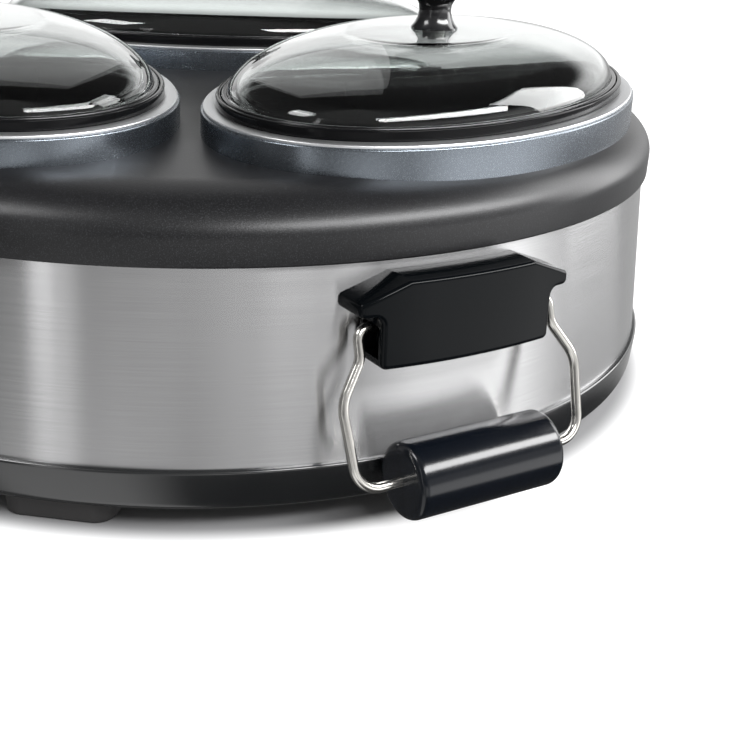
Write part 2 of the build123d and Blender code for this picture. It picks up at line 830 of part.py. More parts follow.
for side, angle in handle_sides.items():
    turn = radians(angle)
    out = Vector(sin(turn), -cos(turn), 0)
    bail_plane = Plane(
        around(angle, pivot_radius, pivot_height),
        x_dir=(cos(turn), sin(turn), 0),
        z_dir=out * tilt_down + Vector(0, 0, tilt_out),
    )
    half_route = [
        (block_half - pivot_hole_depth + bail_end_gap, 0),
        (bail_neck, 0),
        (bail_neck, -bail_waist),
        (bail_half, -bail_flare),
        (bail_foot, -bail_run),
    ]
    route = half_route + [(-x, y) for x, y in reversed(half_route)]
    with BuildPart() as bail:
        with BuildLine(bail_plane) as wire_path:
            FilletPolyline(*route, radius=bend_radii)
        with BuildSketch(Plane(wire_path.line @ 0, z_dir=wire_path.line % 0)):
            Circle(wire_radius)
        sweep(path=wire_path.line)
    save(bail.part, f"bail_{side}")

    across_plane = Plane(
        bail_plane.from_local_coords((-grip_half, -bail_run, 0)),
        x_dir=bail_plane.y_dir,
        z_dir=bail_plane.x_dir,
    )
    for half, keep in (("front", Keep.TOP), ("back", Keep.BOTTOM)):
        with BuildPart() as grip:
            with BuildSketch(across_plane):
                Circle(grip_radius)
            extrude(amount=2 * grip_half)
            fillet(grip.edges().filter_by(GeomType.CIRCLE), grip_round)
            with BuildSketch(across_plane):
                Circle(wire_radius + wire_clearance)
            extrude(amount=2 * grip_half, mode=Mode.SUBTRACT)
            split(bisect_by=bail_plane, keep=keep)
        save(grip.part, f"grip_{half}_{side}")

# Terminal block on the base's floor and the gland that the lead would enter by
gland_bore = 3.6
gland_flange = 10.0
gland_length = 14.0
gland_lip = 3.0
gland_edge = 1.2
gland_seat = band_at(gland_height - gland_flange) + seat_gap
terminal_circle = 60.0
terminal_floor = base_bottom + base_floor
terminal_size = (36.0, 18.0, 8.0)
terminal_post = (8.0, 14.0, 7.0)
terminal_pitch = 11.0
terminal_ways = 3
terminal_corner = 1.0
terminal_screw = (2.2, 5.0)
post_floor = terminal_floor + terminal_size[2]
with BuildPart() as terminal_block:
    with BuildSketch(Plane(around(180, terminal_circle, terminal_floor))):
        RectangleRounded(terminal_size[0], terminal_size[1], 2 * terminal_corner)
    extrude(amount=terminal_size[2])
    with BuildSketch(Plane(around(180, terminal_circle, post_floor))):
        with GridLocations(terminal_pitch, 0, terminal_ways, 1):
            RectangleRounded(terminal_post[0], terminal_post[1], terminal_corner)
    extrude(amount=terminal_post[2])
    with BuildSketch(Plane(around(180, terminal_circle, post_floor + terminal_post[2]))):
        with GridLocations(terminal_pitch, 0, terminal_ways, 1):
            Circle(terminal_screw[0])
    extrude(amount=-terminal_screw[1], mode=Mode.SUBTRACT)
save(terminal_block.part, "terminal_block")

with BuildPart() as cord_gland:
    with BuildSketch(facing_plane(180, gland_seat - gland_length + gland_lip, gland_height)):
        Circle(gland_radius)
    extrude(amount=gland_length)
    with BuildSketch(facing_plane(180, gland_seat, gland_height)):
        Circle(gland_flange)
    extrude(amount=gland_lip)
    fillet(cord_gland.faces().filter_by(GeomType.PLANE).sort_by(Axis.Y)[-1].edges(), gland_edge)
    with BuildSketch(facing_plane(180, gland_seat - gland_length, gland_height)):
        Circle(gland_bore)
    extrude(amount=2 * gland_length, mode=Mode.SUBTRACT)
save(cord_gland.part, "cord_gland")
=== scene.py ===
"""Looks of the triple slow cooker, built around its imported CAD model.

Sizes are in millimetres in the classes below and become metres where a mesh is made. Angles go
round the body's axis from the front, counter-clockwise from above, as they do in the CAD source.
"""

import logging
from dataclasses import dataclass, field
from enum import Enum
from math import cos, degrees, hypot, pi, radians, sin, sqrt, tan
from typing import Any, Callable, Iterable, Sequence

import bmesh
import bpy
from mathutils import Matrix, Vector
from mathutils.geometry import delaunay_2d_cdt


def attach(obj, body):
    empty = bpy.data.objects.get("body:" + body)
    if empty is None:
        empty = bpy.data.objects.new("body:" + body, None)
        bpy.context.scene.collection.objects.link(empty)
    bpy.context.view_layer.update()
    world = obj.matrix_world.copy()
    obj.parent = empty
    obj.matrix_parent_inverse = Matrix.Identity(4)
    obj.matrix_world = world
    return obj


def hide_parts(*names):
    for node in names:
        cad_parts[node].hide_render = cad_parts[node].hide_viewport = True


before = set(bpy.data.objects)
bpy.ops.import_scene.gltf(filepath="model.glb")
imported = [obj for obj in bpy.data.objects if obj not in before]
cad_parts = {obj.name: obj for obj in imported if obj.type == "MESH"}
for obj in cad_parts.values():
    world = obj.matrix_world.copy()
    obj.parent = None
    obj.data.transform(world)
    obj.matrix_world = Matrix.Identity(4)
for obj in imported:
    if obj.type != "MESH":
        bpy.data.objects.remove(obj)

log = logging.getLogger("slow_cooker")
MM = 0.001
MERGE = 2e-6
CREASE = radians(32.0)
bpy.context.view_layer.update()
WALL_RADIUS = 0.205

Point = tuple[float, float, float]
Pair = tuple[float, float]


class Slot(Enum):
    """The record's material slots."""

    BASE = "gloss_black_base"
    BAND = "brushed_band"
    COVER = "charcoal_cover"
    RING = "bright_ring"
    GLAZE = "black_glaze"
    LID_TRIM = "lid_steel"
    GLASS = "lid_glass"
    KNOB = "black_knob"
    BRACKET = "bracket_black"
    WIRE = "wire_steel"
    GRIP = "grip_black"
    PANEL = "panel_black"
    DIAL = "dial_black"


# Shader maths


class Socket:
    """One output of a shader node, with arithmetic that adds Math nodes."""

    def __init__(self, tree: "Tree", socket: bpy.types.NodeSocket) -> None:
        """Keep the socket and its tree.

        Args:
            tree: The tree that the socket belongs to.
            socket: The output socket.
        """
        self.tree = tree
        self.socket = socket

    def _math(self, operation: str, first: Any, second: Any) -> "Socket":
        """Add one Math node and return its value."""
        node = self.tree.add("ShaderNodeMath", {0: first, 1: second}, operation=operation)
        return Socket(self.tree, node.outputs[0])

    def __add__(self, other: Any) -> "Socket":
        """Sum."""
        return self._math("ADD", self, other)

    __radd__ = __add__

    def __mul__(self, other: Any) -> "Socket":
        """Product."""
        return self._math("MULTIPLY", self, other)

    __rmul__ = __mul__

    def __sub__(self, other: Any) -> "Socket":
        """Difference."""
        return self._math("SUBTRACT", self, other)

    def __rsub__(self, other: Any) -> "Socket":
        """Difference, the other way round."""
        return self._math("SUBTRACT", other, self)

    def atan2(self, other: "Socket") -> "Socket":
        """Angle of a point whose coordinates are this value and the other."""
        return self._math("ARCTAN2", self, other)

    def swing(self, amount: float) -> "Socket":
        """How far this noise lies from its middle, times an amount."""
        return (self - 0.5) * amount

    def between(self, low: float, high: float) -> "Socket":
        """Take this value smoothly from low..high to 0..1, held at both ends.

        Args:
            low: The value that becomes 0.
            high: The value that becomes 1.

        Returns:
            The share.
        """
        ends = {"Value": self, "From Min": low, "From Max": high}
        node = self.tree.add("ShaderNodeMapRange", ends, interpolation_type="SMOOTHSTEP")
        return Socket(self.tree, node.outputs["Result"])


class Tree:
    """A node tree with one method that makes any node."""

    def __init__(self, tree: bpy.types.NodeTree) -> None:
        """Clear the tree.

        Args:
            tree: The node tree to fill.
        """
        self.tree = tree
        tree.nodes.clear()

    def add(self, kind: str, inputs: dict[Any, Any] | None = None, **settings: Any) -> bpy.types.Node:
        """Make one node.

        Args:
            kind: The node's type.
            inputs: Values or links of its sockets, by name or number.
            settings: Its settings, such as a Math node's operation or a ramp's stops.

        Returns:
            The node.
        """
        node = self.tree.nodes.new(kind)
        for key, value in settings.items():
            if key == "stops":
                ramp = node.color_ramp
                while len(ramp.elements) < len(value):
                    ramp.elements.new(1.0)
                for element, (place, shade) in zip(ramp.elements, value):
                    element.position = place
                    element.color = (shade, shade, shade, 1.0)
            else:
                setattr(node, key, value)
        for key, value in (inputs or {}).items():
            target = node.inputs[key]
            if isinstance(value, Socket):
                self.tree.links.new(value.socket, target)
            elif isinstance(value, bpy.types.NodeSocket):
                self.tree.links.new(value, target)
            else:
                target.default_value = value
        return node

    def out(self, node: bpy.types.Node, name: Any) -> Socket:
        """One output of a node, wrapped."""
        return Socket(self, node.outputs[name])

    def place(self) -> bpy.types.NodeSocket:
        """Object coordinates, in metres in the part's own frame."""
        return self.add("ShaderNodeTexCoord").outputs["Object"]

    def split(self, vector: bpy.types.NodeSocket) -> list[Socket]:
        """The three values of a vector."""
        parts = self.add("ShaderNodeSeparateXYZ", {0: vector})
        return [self.out(parts, i) for i in range(3)]

    def round_place(self, across: float, along: float) -> bpy.types.NodeSocket:
        """Coordinates that follow the body's wall round its axis.

        Args:
            across: Stretch of the pattern round the axis, as copies a metre.
            along: Stretch of the pattern up the axis, as copies a metre.

        Returns:
            A vector socket whose X goes round the wall and whose Z goes up it.
        """
        x, y, z = self.split(self.place())
        turned = (x * -1.0).atan2(y) * WALL_RADIUS * across
        return self.add("ShaderNodeCombineXYZ", {0: turned, 1: 0.0, 2: z * along}).outputs[0]

    def noise(self, where: Any, scale: float, detail: float = 2.0, rough: float = 0.5) -> Socket:
        """A noise texture's value.

        Args:
            where: The vector that it reads.
            scale: Its scale, in cells a metre.
            detail: Its octaves.
            rough: How strong the finer octaves are.

        Returns:
            The value, about 0.5 on average.
        """
        facts = {"Vector": where, "Scale": scale, "Detail": detail, "Roughness": rough}
        return self.out(self.add("ShaderNodeTexNoise", facts), "Fac")

    def tint(self, share: Any, low: Sequence[float], high: Sequence[float]) -> Socket:
        """A colour between two, by a share."""
        ends = {"Factor": share, 6: (*low, 1.0), 7: (*high, 1.0)}
        return self.out(self.add("ShaderNodeMix", ends, data_type="RGBA"), 2)

    def ramp(self, share: Socket, stops: Sequence[Pair]) -> Socket:
        """A level read from stops of place and level."""
        return self.out(self.add("ShaderNodeValToRGB", {"Fac": share}, stops=stops), "Color")

    def bump(self, height: Socket, strength: float, distance: float) -> Socket:
        """A normal from a height.

        Args:
            height: The height, 0 to 1.
            strength: How much of it is felt.
            distance: The height of 1, in metres.

        Returns:
            The normal.
        """
        facts = {"Strength": strength, "Distance": distance, "Height": height}
        return self.out(self.add("ShaderNodeBump", facts), "Normal")


# Finishes


@dataclass(frozen=True)
class Finish:
    """A finish with its own node material."""

    name: str

    def paint(self, tree: Tree) -> dict[str, Any]:
        """Inputs of the Principled shader.

        Args:
            tree: The material's tree.

        Returns:
            Socket names with their values or links.
        """
        raise NotImplementedError

    def material(self) -> bpy.types.Material:
        """Make the finish's material the first time that it is asked for.

        Returns:
            The material.
        """
        found = bpy.data.materials.get(self.name)
        if found is not None:
            return found
        made = bpy.data.materials.new(self.name)
        made.use_nodes = True
        tree = Tree(made.node_tree)
        shader = tree.add("ShaderNodeBsdfPrincipled", self.paint(tree))
        tree.add("ShaderNodeOutputMaterial", {"Surface": shader.outputs[0]})
        return made


@dataclass(frozen=True)
class SatinPaint(Finish):
    """Dark satin paint with a fine metallic sparkle and a soft orange peel."""

    dark: Sequence[float] = (0.010, 0.010, 0.011)
    light: Sequence[float] = (0.030, 0.031, 0.034)
    roughness: float = 0.36
    metallic: float = 0.25
    flakes: float = 2600.0
    clouds: float = 26.0
    peels: float = 900.0
    speck: Pair = (0.52, 0.74)
    haze: Pair = (0.10, 0.16)
    shine: float = 0.55
    flake_relief: float = 0.6
    relief: Pair = (0.22, 0.00012)

    def paint(self, tree: Tree) -> dict[str, Any]:
        """Speckled colour, varied roughness and a fine peel.

        Args:
            tree: The material's tree.

        Returns:
            Socket names with their values or links.
        """
        where = tree.place()
        flake = tree.noise(where, self.flakes, 1.0)
        cloud = tree.noise(where, self.clouds, 3.0)
        peel = tree.noise(where, self.peels, 2.0)
        return {
            "Base Color": tree.tint(flake.between(*self.speck), self.dark, self.light),
            "Metallic": self.metallic,
            "Specular IOR Level": self.shine,
            "Roughness": self.roughness + cloud.swing(self.haze[0]) + flake.swing(self.haze[1]),
            "Normal": tree.bump(peel + flake * self.flake_relief, *self.relief),
        }


@dataclass(frozen=True)
class RoundBrushed(Finish):
    """Stainless steel brushed round the body's axis."""

    dark: Sequence[float] = (0.52, 0.52, 0.525)
    light: Sequence[float] = (0.60, 0.60, 0.605)
    roughness: float = 0.24
    around_scale: float = 22.0
    upward_scale: float = 3200.0
    clouds: float = 9.0
    contrast: Pair = (0.2, 0.8)
    haze: Pair = (0.06, 0.03)
    relief: Pair = (0.04, 0.00002)

    def paint(self, tree: Tree) -> dict[str, Any]:
        """Long fine lines round the wall, barely lighter and darker than each other.

        Args:
            tree: The material's tree.

        Returns:
            Socket names with their values or links.
        """
        fine = tree.noise(tree.round_place(self.around_scale, self.upward_scale), 1.0, 3.0, 0.6)
        cloud = tree.noise(tree.place(), self.clouds, 2.0)
        return {
            "Base Color": tree.tint(fine.between(*self.contrast), self.dark, self.light),
            "Metallic": 1.0,
            "Anisotropic": 1.0,
            "Anisotropic Rotation": 0.25,
            "Roughness": self.roughness + fine.swing(self.haze[0]) + cloud.swing(self.haze[1]),
            "Normal": tree.bump(fine, *self.relief),
        }


@dataclass(frozen=True)
class BareMetal(Finish):
    """Plain metal with fine scuffs."""

    colour: Sequence[float] = (0.62, 0.61, 0.60)
    roughness: float = 0.2
    scuff: float = 0.08
    grain: float = 700.0
    clouds: float = 60.0
    fade: float = 0.9
    relief: Pair = (0.12, 0.00005)

    def paint(self, tree: Tree) -> dict[str, Any]:
        """Slightly uneven colour and roughness over a fine grain.

        Args:
            tree: The material's tree.

        Returns:
            Socket names with their values or links.
        """
        where = tree.place()
        cloud = tree.noise(where, self.clouds, 3.0)
        grain = tree.noise(where, self.grain, 2.0)
        low = [c * self.fade for c in self.colour]
        return {
            "Base Color": tree.tint(cloud, low, self.colour),
            "Metallic": 1.0,
            "Roughness": self.roughness + cloud.swing(self.scuff) + grain.swing(self.scuff),
            "Normal": tree.bump(grain, *self.relief),
        }


@dataclass(frozen=True)
class Moulding(Finish):
    """Moulded plastic or rubber, from gloss to matte."""

    colour: Sequence[float] = (0.008, 0.009, 0.011)
    roughness: float = 0.14
    coat: float = 0.4
    grain: float = 350.0
    depth: float = 0.00003
    shine: float = 0.5
    ior: float = 1.5
    flows: float = 45.0
    lift: float = 1.35
    haze: Pair = (0.08, 0.04)
    coat_roughness: float = 0.08
    felt: float = 0.25

    def paint(self, tree: Tree) -> dict[str, Any]:
        """A faint flow pattern in the colour, handling haze in the gloss and a soft grain.

        Args:
            tree: The material's tree.

        Returns:
            Socket names with their values or links.
        """
        where = tree.place()
        flow = tree.noise(where, self.flows, 3.0)
        grain = tree.noise(where, self.grain, 2.0)
        high = [c * self.lift for c in self.colour]
        return {
            "Base Color": tree.tint(flow, self.colour, high),
            "Roughness": self.roughness + flow.swing(self.haze[0]) + grain.swing(self.haze[1]),
            "Coat Weight": self.coat,
            "Coat Roughness": self.coat_roughness,
            "Specular IOR Level": self.shine,
            "IOR": self.ior,
            "Normal": tree.bump(grain, self.felt, self.depth),
        }


@dataclass(frozen=True)
class Glaze(Finish):
    """Black stoneware glaze."""

    colour: Sequence[float] = (0.003, 0.003, 0.0033)
    pools: float = 30.0
    pits: float = 420.0
    lift: float = 1.8
    roughness: float = 0.12
    haze: float = 0.08
    shine: float = 0.08
    pit_relief: float = 0.15
    relief: Pair = (0.2, 0.0004)

    def paint(self, tree: Tree) -> dict[str, Any]:
        """Pooled colour with a gentle ripple.

        Args:
            tree: The material's tree.

        Returns:
            Socket names with their values or links.
        """
        where = tree.place()
        pool = tree.noise(where, self.pools, 3.0)
        pit = tree.noise(where, self.pits, 2.0)
        high = [c * self.lift for c in self.colour]
        return {
            "Base Color": tree.tint(pool, self.colour, high),
            "Roughness": self.roughness + pit.swing(self.haze),
            "Specular IOR Level": self.shine,
            "Normal": tree.bump(pool + pit * self.pit_relief, *self.relief),
        }


@dataclass(frozen=True)
class ClearGlass(Finish):
    """Tempered glass with a faint green cast."""

    colour: Sequence[float] = (0.90, 0.93, 0.92)
    wavers: float = 22.0
    dusts: float = 300.0
    fade: float = 0.97
    roughness: float = 0.01
    dusty: Pair = (0.55, 0.8)
    dust_haze: float = 0.05
    relief: Pair = (0.1, 0.0004)

    def paint(self, tree: Tree) -> dict[str, Any]:
        """Clear, with a slow waver in its surface.

        Args:
            tree: The material's tree.

        Returns:
            Socket names with their values or links.
        """
        waver = tree.noise(tree.place(), self.wavers, 2.0)
        dust = tree.noise(tree.place(), self.dusts, 3.0)
        low = [c * self.fade for c in self.colour]
        return {
            "Base Color": tree.tint(waver, low, self.colour),
            "Roughness": self.roughness + dust.between(*self.dusty) * self.dust_haze,
            "IOR": 1.5,
            "Transmission Weight": 1.0,
            "Normal": tree.bump(waver, *self.relief),
        }


@dataclass(frozen=True)
class PrintedWhite(Finish):
    """Printed marks."""

    colour: Sequence[float] = (0.72, 0.72, 0.70)
    grain: float = 900.0
    fade: float = 0.85
    roughness: float = 0.5
    haze: float = 0.1

    def paint(self, tree: Tree) -> dict[str, Any]:
        """Matte ink, a little thin in places.

        Args:
            tree: The material's tree.

        Returns:
            Socket names with their values or links.
        """
        thin = tree.noise(tree.place(), self.grain, 2.0)
        colour = tree.tint(thin, [c * self.fade for c in self.colour], self.colour)
        return {"Base Color": colour, "Roughness": self.roughness + thin.swing(self.haze)}


COVER_PAINT = SatinPaint("charcoal_satin_paint")
COLLAR_PAINT = SatinPaint(
    "collar_gunmetal", dark=(0.17, 0.19, 0.215), light=(0.27, 0.30, 0.33), roughness=0.26, metallic=0.95
)
BAND_STEEL = RoundBrushed("band_brushed_steel")
RING_METAL = BareMetal("rim_ring_bright", colour=(0.92, 0.93, 0.94), roughness=0.40)
WELL_METAL = BareMetal("well_dull_aluminium", colour=(0.50, 0.50, 0.50), roughness=0.42)
WIRE_METAL = BareMetal("bail_wire_steel", colour=(0.80, 0.78, 0.74), roughness=0.20, scuff=0.10)
SCREW_METAL = BareMetal("screw_zinc", colour=(0.58, 0.58, 0.56), roughness=0.32)
LID_METAL = BareMetal("lid_rim_dark_steel", colour=(0.05, 0.05, 0.052), roughness=0.24)
BRACKET_PLASTIC = Moulding(
    "bracket_gloss_black", colour=(0.0015, 0.002, 0.0025), roughness=0.08, coat=0.0, shine=0.35, ior=1.25
)
GRIP_PLASTIC = Moulding("grip_gloss_black", colour=(0.002, 0.003, 0.005), roughness=0.17, coat=0.0)
BASE_PLASTIC = Moulding("base_gloss_black", colour=(0.004, 0.0045, 0.005), roughness=0.2, coat=0.5, shine=0.9)
PANEL_PLASTIC = Moulding("panel_gloss_black", colour=(0.009, 0.009, 0.010), roughness=0.16)
DIAL_PLASTIC = Moulding("dial_satin_black", colour=(0.014, 0.014, 0.015), roughness=0.34, coat=0.1)
KNOB_PLASTIC = Moulding("lid_knob_black", colour=(0.010, 0.010, 0.011), roughness=0.18)
FOOT_RUBBER = Moulding("foot_rubber", colour=(0.018, 0.017, 0.017), roughness=0.62, coat=0.0, depth=0.0001)
SWITCH_PLASTIC = Moulding("switch_body", colour=(0.42, 0.36, 0.26), roughness=0.5, coat=0.0)
TERMINAL_PLASTIC = Moulding("terminal_cream", colour=(0.62, 0.58, 0.50), roughness=0.5, coat=0.0)
LENS_PLASTIC = Moulding("lens_red", colour=(0.30, 0.015, 0.012), roughness=0.12, coat=0.6)
CROCK_GLAZE = Glaze("crock_black_glaze")
LID_GLASS = ClearGlass("lid_clear_glass")
MARK_INK = PrintedWhite("printed_marks")


# Mesh making


def added(name: str, data: bpy.types.ID) -> bpy.types.Object:
    """Put a new object with its data into the scene.

    Args:
        name: The object's name.
        data: Its mesh, lamp or camera.

    Returns:
        The object.
    """
    made = bpy.data.objects.new(name, data)
    bpy.context.scene.collection.objects.link(made)
    return made


def around(angle: float, radius: float, height: float) -> Vector:
    """Point at an angle from the front, a distance from the axis and a height, in millimetres."""
    turn = radians(angle)
    return Vector((radius * sin(turn), -radius * cos(turn), height))


def rounded(points: Sequence[Pair], radii: Sequence[float], steps: int = 6) -> list[Pair]:
    """An open or closed polyline's points with its corners rounded.

    Args:
        points: The corners.
        radii: A radius for each corner, 0 for a sharp one.
        steps: Points in each round.

    Returns:
        The rounded line's points.
    """
    made: list[Pair] = []
    count = len(points)
    for i, (corner, radius) in enumerate(zip(points, radii)):
        if radius <= 0:
            made.append(corner)
            continue
        here = Vector(corner)
        before = (Vector(points[i - 1]) - here).normalized()
        after = (Vector(points[(i + 1) % count]) - here).normalized()
        half = before.angle(after) / 2
        reach = radius / max(1e-6, tan(half))
        centre = here + (before + after).normalized() * (radius / sin(half))
        start, end = here + before * reach - centre, here + after * reach - centre
        sweep = start.angle_signed(end)
        for k in range(steps + 1):
            turn = Matrix.Rotation(-sweep * k / steps, 2)
            made.append(tuple(centre + turn @ start))
    return made


class Shell:
    """A mesh in the making, in millimetres."""

    def __init__(self) -> None:
        """Start with nothing."""
        self.points: list[Point] = []
        self.faces: list[tuple[int, ...]] = []
        self.finishes: list[int] = []

    def loop(self, ring: Iterable[Point]) -> list[int]:
        """Add a ring of points.

        Args:
            ring: The points.

        Returns:
            Their numbers.
        """
        start = len(self.points)
        self.points.extend(tuple(p) for p in ring)
        return list(range(start, len(self.points)))

    def strip(self, first: Sequence[int], second: Sequence[int], finish: int = 0) -> None:
        """Join two rings of as many points by four-sided faces.

        Args:
            first: Numbers of the first ring's points.
            second: Numbers of the second ring's points.
            finish: Number of the finish.
        """
        count = len(first)
        for i in range(count):
            j = (i + 1) % count
            self.face((first[i], first[j], second[j], second[i]), finish)

    def face(self, corners: tuple[int, ...], finish: int = 0) -> None:
        """Add a face."""
        self.faces.append(corners)
        self.finishes.append(finish)

    def stack(self, rings: Sequence[Iterable[Point]], finish: int = 0, closed: bool = False) -> None:
        """Join rings one after the other.

        Args:
            rings: The rings, each with as many points.
            finish: Number of the finish.
            closed: Whether the last ring joins the first.
        """
        loops = [self.loop(ring) for ring in rings]
        for first, second in zip(loops, loops[1:]):
            self.strip(first, second, finish)
        if closed:
            self.strip(loops[-1], loops[0], finish)

    def fan(self, ring: Iterable[Point], centre: Point) -> None:
        """Close a ring with triangles to a centre.

        Args:
            ring: The ring's points.
            centre: The centre.
        """
        loop = self.loop(ring)
        hub = self.loop([centre])[0]
        for i, corner in enumerate(loop):
            self.face((corner, loop[(i + 1) % len(loop)], hub))

    def build(self, name: str, finishes: Sequence[Finish]) -> bpy.types.Object:
        """Make the object, with doubles merged and faces pointing outwards.

        Args:
            name: The object's name.
            finishes: Its finishes, by number.

        Returns:
            The object, at the origin.
        """
        mesh = bpy.data.meshes.new(name)
        mesh.from_pydata([[c * MM for c in p] for p in self.points], [], self.faces)
        mesh.polygons.foreach_set("material_index", self.finishes)
        piece = added(name, mesh)
        for finish in finishes:
            mesh.materials.append(finish.material())
        tidy(piece)
        return piece


def tidy(piece: bpy.types.Object) -> None:
    """Merge doubles, point faces outwards and shade smooth between creases.

    Args:
        piece: The piece.
    """
    work = bmesh.new()
    work.from_mesh(piece.data)
    bmesh.ops.remove_doubles(work, verts=work.verts, dist=MERGE)
    bmesh.ops.dissolve_degenerate(work, edges=work.edges, dist=MERGE / 20)
    bmesh.ops.recalc_face_normals(work, faces=work.faces)
    work.to_mesh(piece.data)
    work.free()
    piece.data.shade_smooth()
    piece.data.set_sharp_from_angle(angle=CREASE)


def lathe(profile: Sequence[Pair], segments: int = 256, closed: bool = True) -> Shell:
    """Turn a profile of radius and height round the body's axis.

    Args:
        profile: The profile's points.
        segments: Steps round the axis.
        closed: Whether the profile's end joins its start.

    Returns:
        The shell.
    """
    shell = Shell()
    rings = [[around(360 * k / segments, r, z) for k in range(segments)] for r, z in profile]
    shell.stack(rings, closed=closed)
    return shell


def enter(piece: bpy.types.Object, body: str, slot: Slot, *nodes: str) -> None:
    """Let a piece ride on a body and stand for its CAD nodes.

    Args:
        piece: The piece.
        body: The CAD body that it rides on.
        slot: Its material slot; not used.
        nodes: The CAD nodes that it stands for.
    """
    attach(piece, body)
    if nodes:
        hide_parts(*nodes)
    log.info("%s rides on %s", piece.name, body)


# Sub-assemblies


@dataclass
class Pot:
    """Where a pot's oval lies, and its rings of points."""

    side: str
    angle: float
    circle: float = 113.2
    half_length: float = 124.4
    half_width: float = 79.5
    points: int = 192

    def ring(self, inset: float, height: float) -> list[Vector]:
        """The oval drawn in by an inset, at a height."""
        return self.sized(self.half_length - inset, self.half_width - inset, height)

    def sized(self, length: float, width: float, height: float) -> list[Vector]:
        """An oval of given half sizes at the pot's centre.

        Args:
            length: Its half length, in line with the pot.
            width: Its half width.
            height: Its height.

        Returns:
            Its points.
        """
        turn = radians(self.angle)
        centre = around(self.angle, self.circle, height)
        along = Vector((cos(turn), sin(turn), 0))
        across = Vector((-sin(turn), cos(turn), 0))
        steps = [2 * pi * k / self.points for k in range(self.points)]
        return [centre + along * length * cos(t) + across * width * sin(t) for t in steps]

    def centre(self, height: float) -> Vector:
        """The pot's centre at a height."""
        return around(self.angle, self.circle, height)

    def turned(self, profile: Sequence[Pair]) -> Shell:
        """Take a closed profile round the oval.

        Args:
            profile: Insets and heights.

        Returns:
            The shell.
        """
        shell = Shell()
        shell.stack([self.ring(inset, height) for inset, height in profile], closed=True)
        return shell


POTS = [Pot("front", 0.0), Pot("right", 120.0), Pot("left", 240.0)]
HANDLE_ANGLES = {"right": 88.7, "left": -88.7}


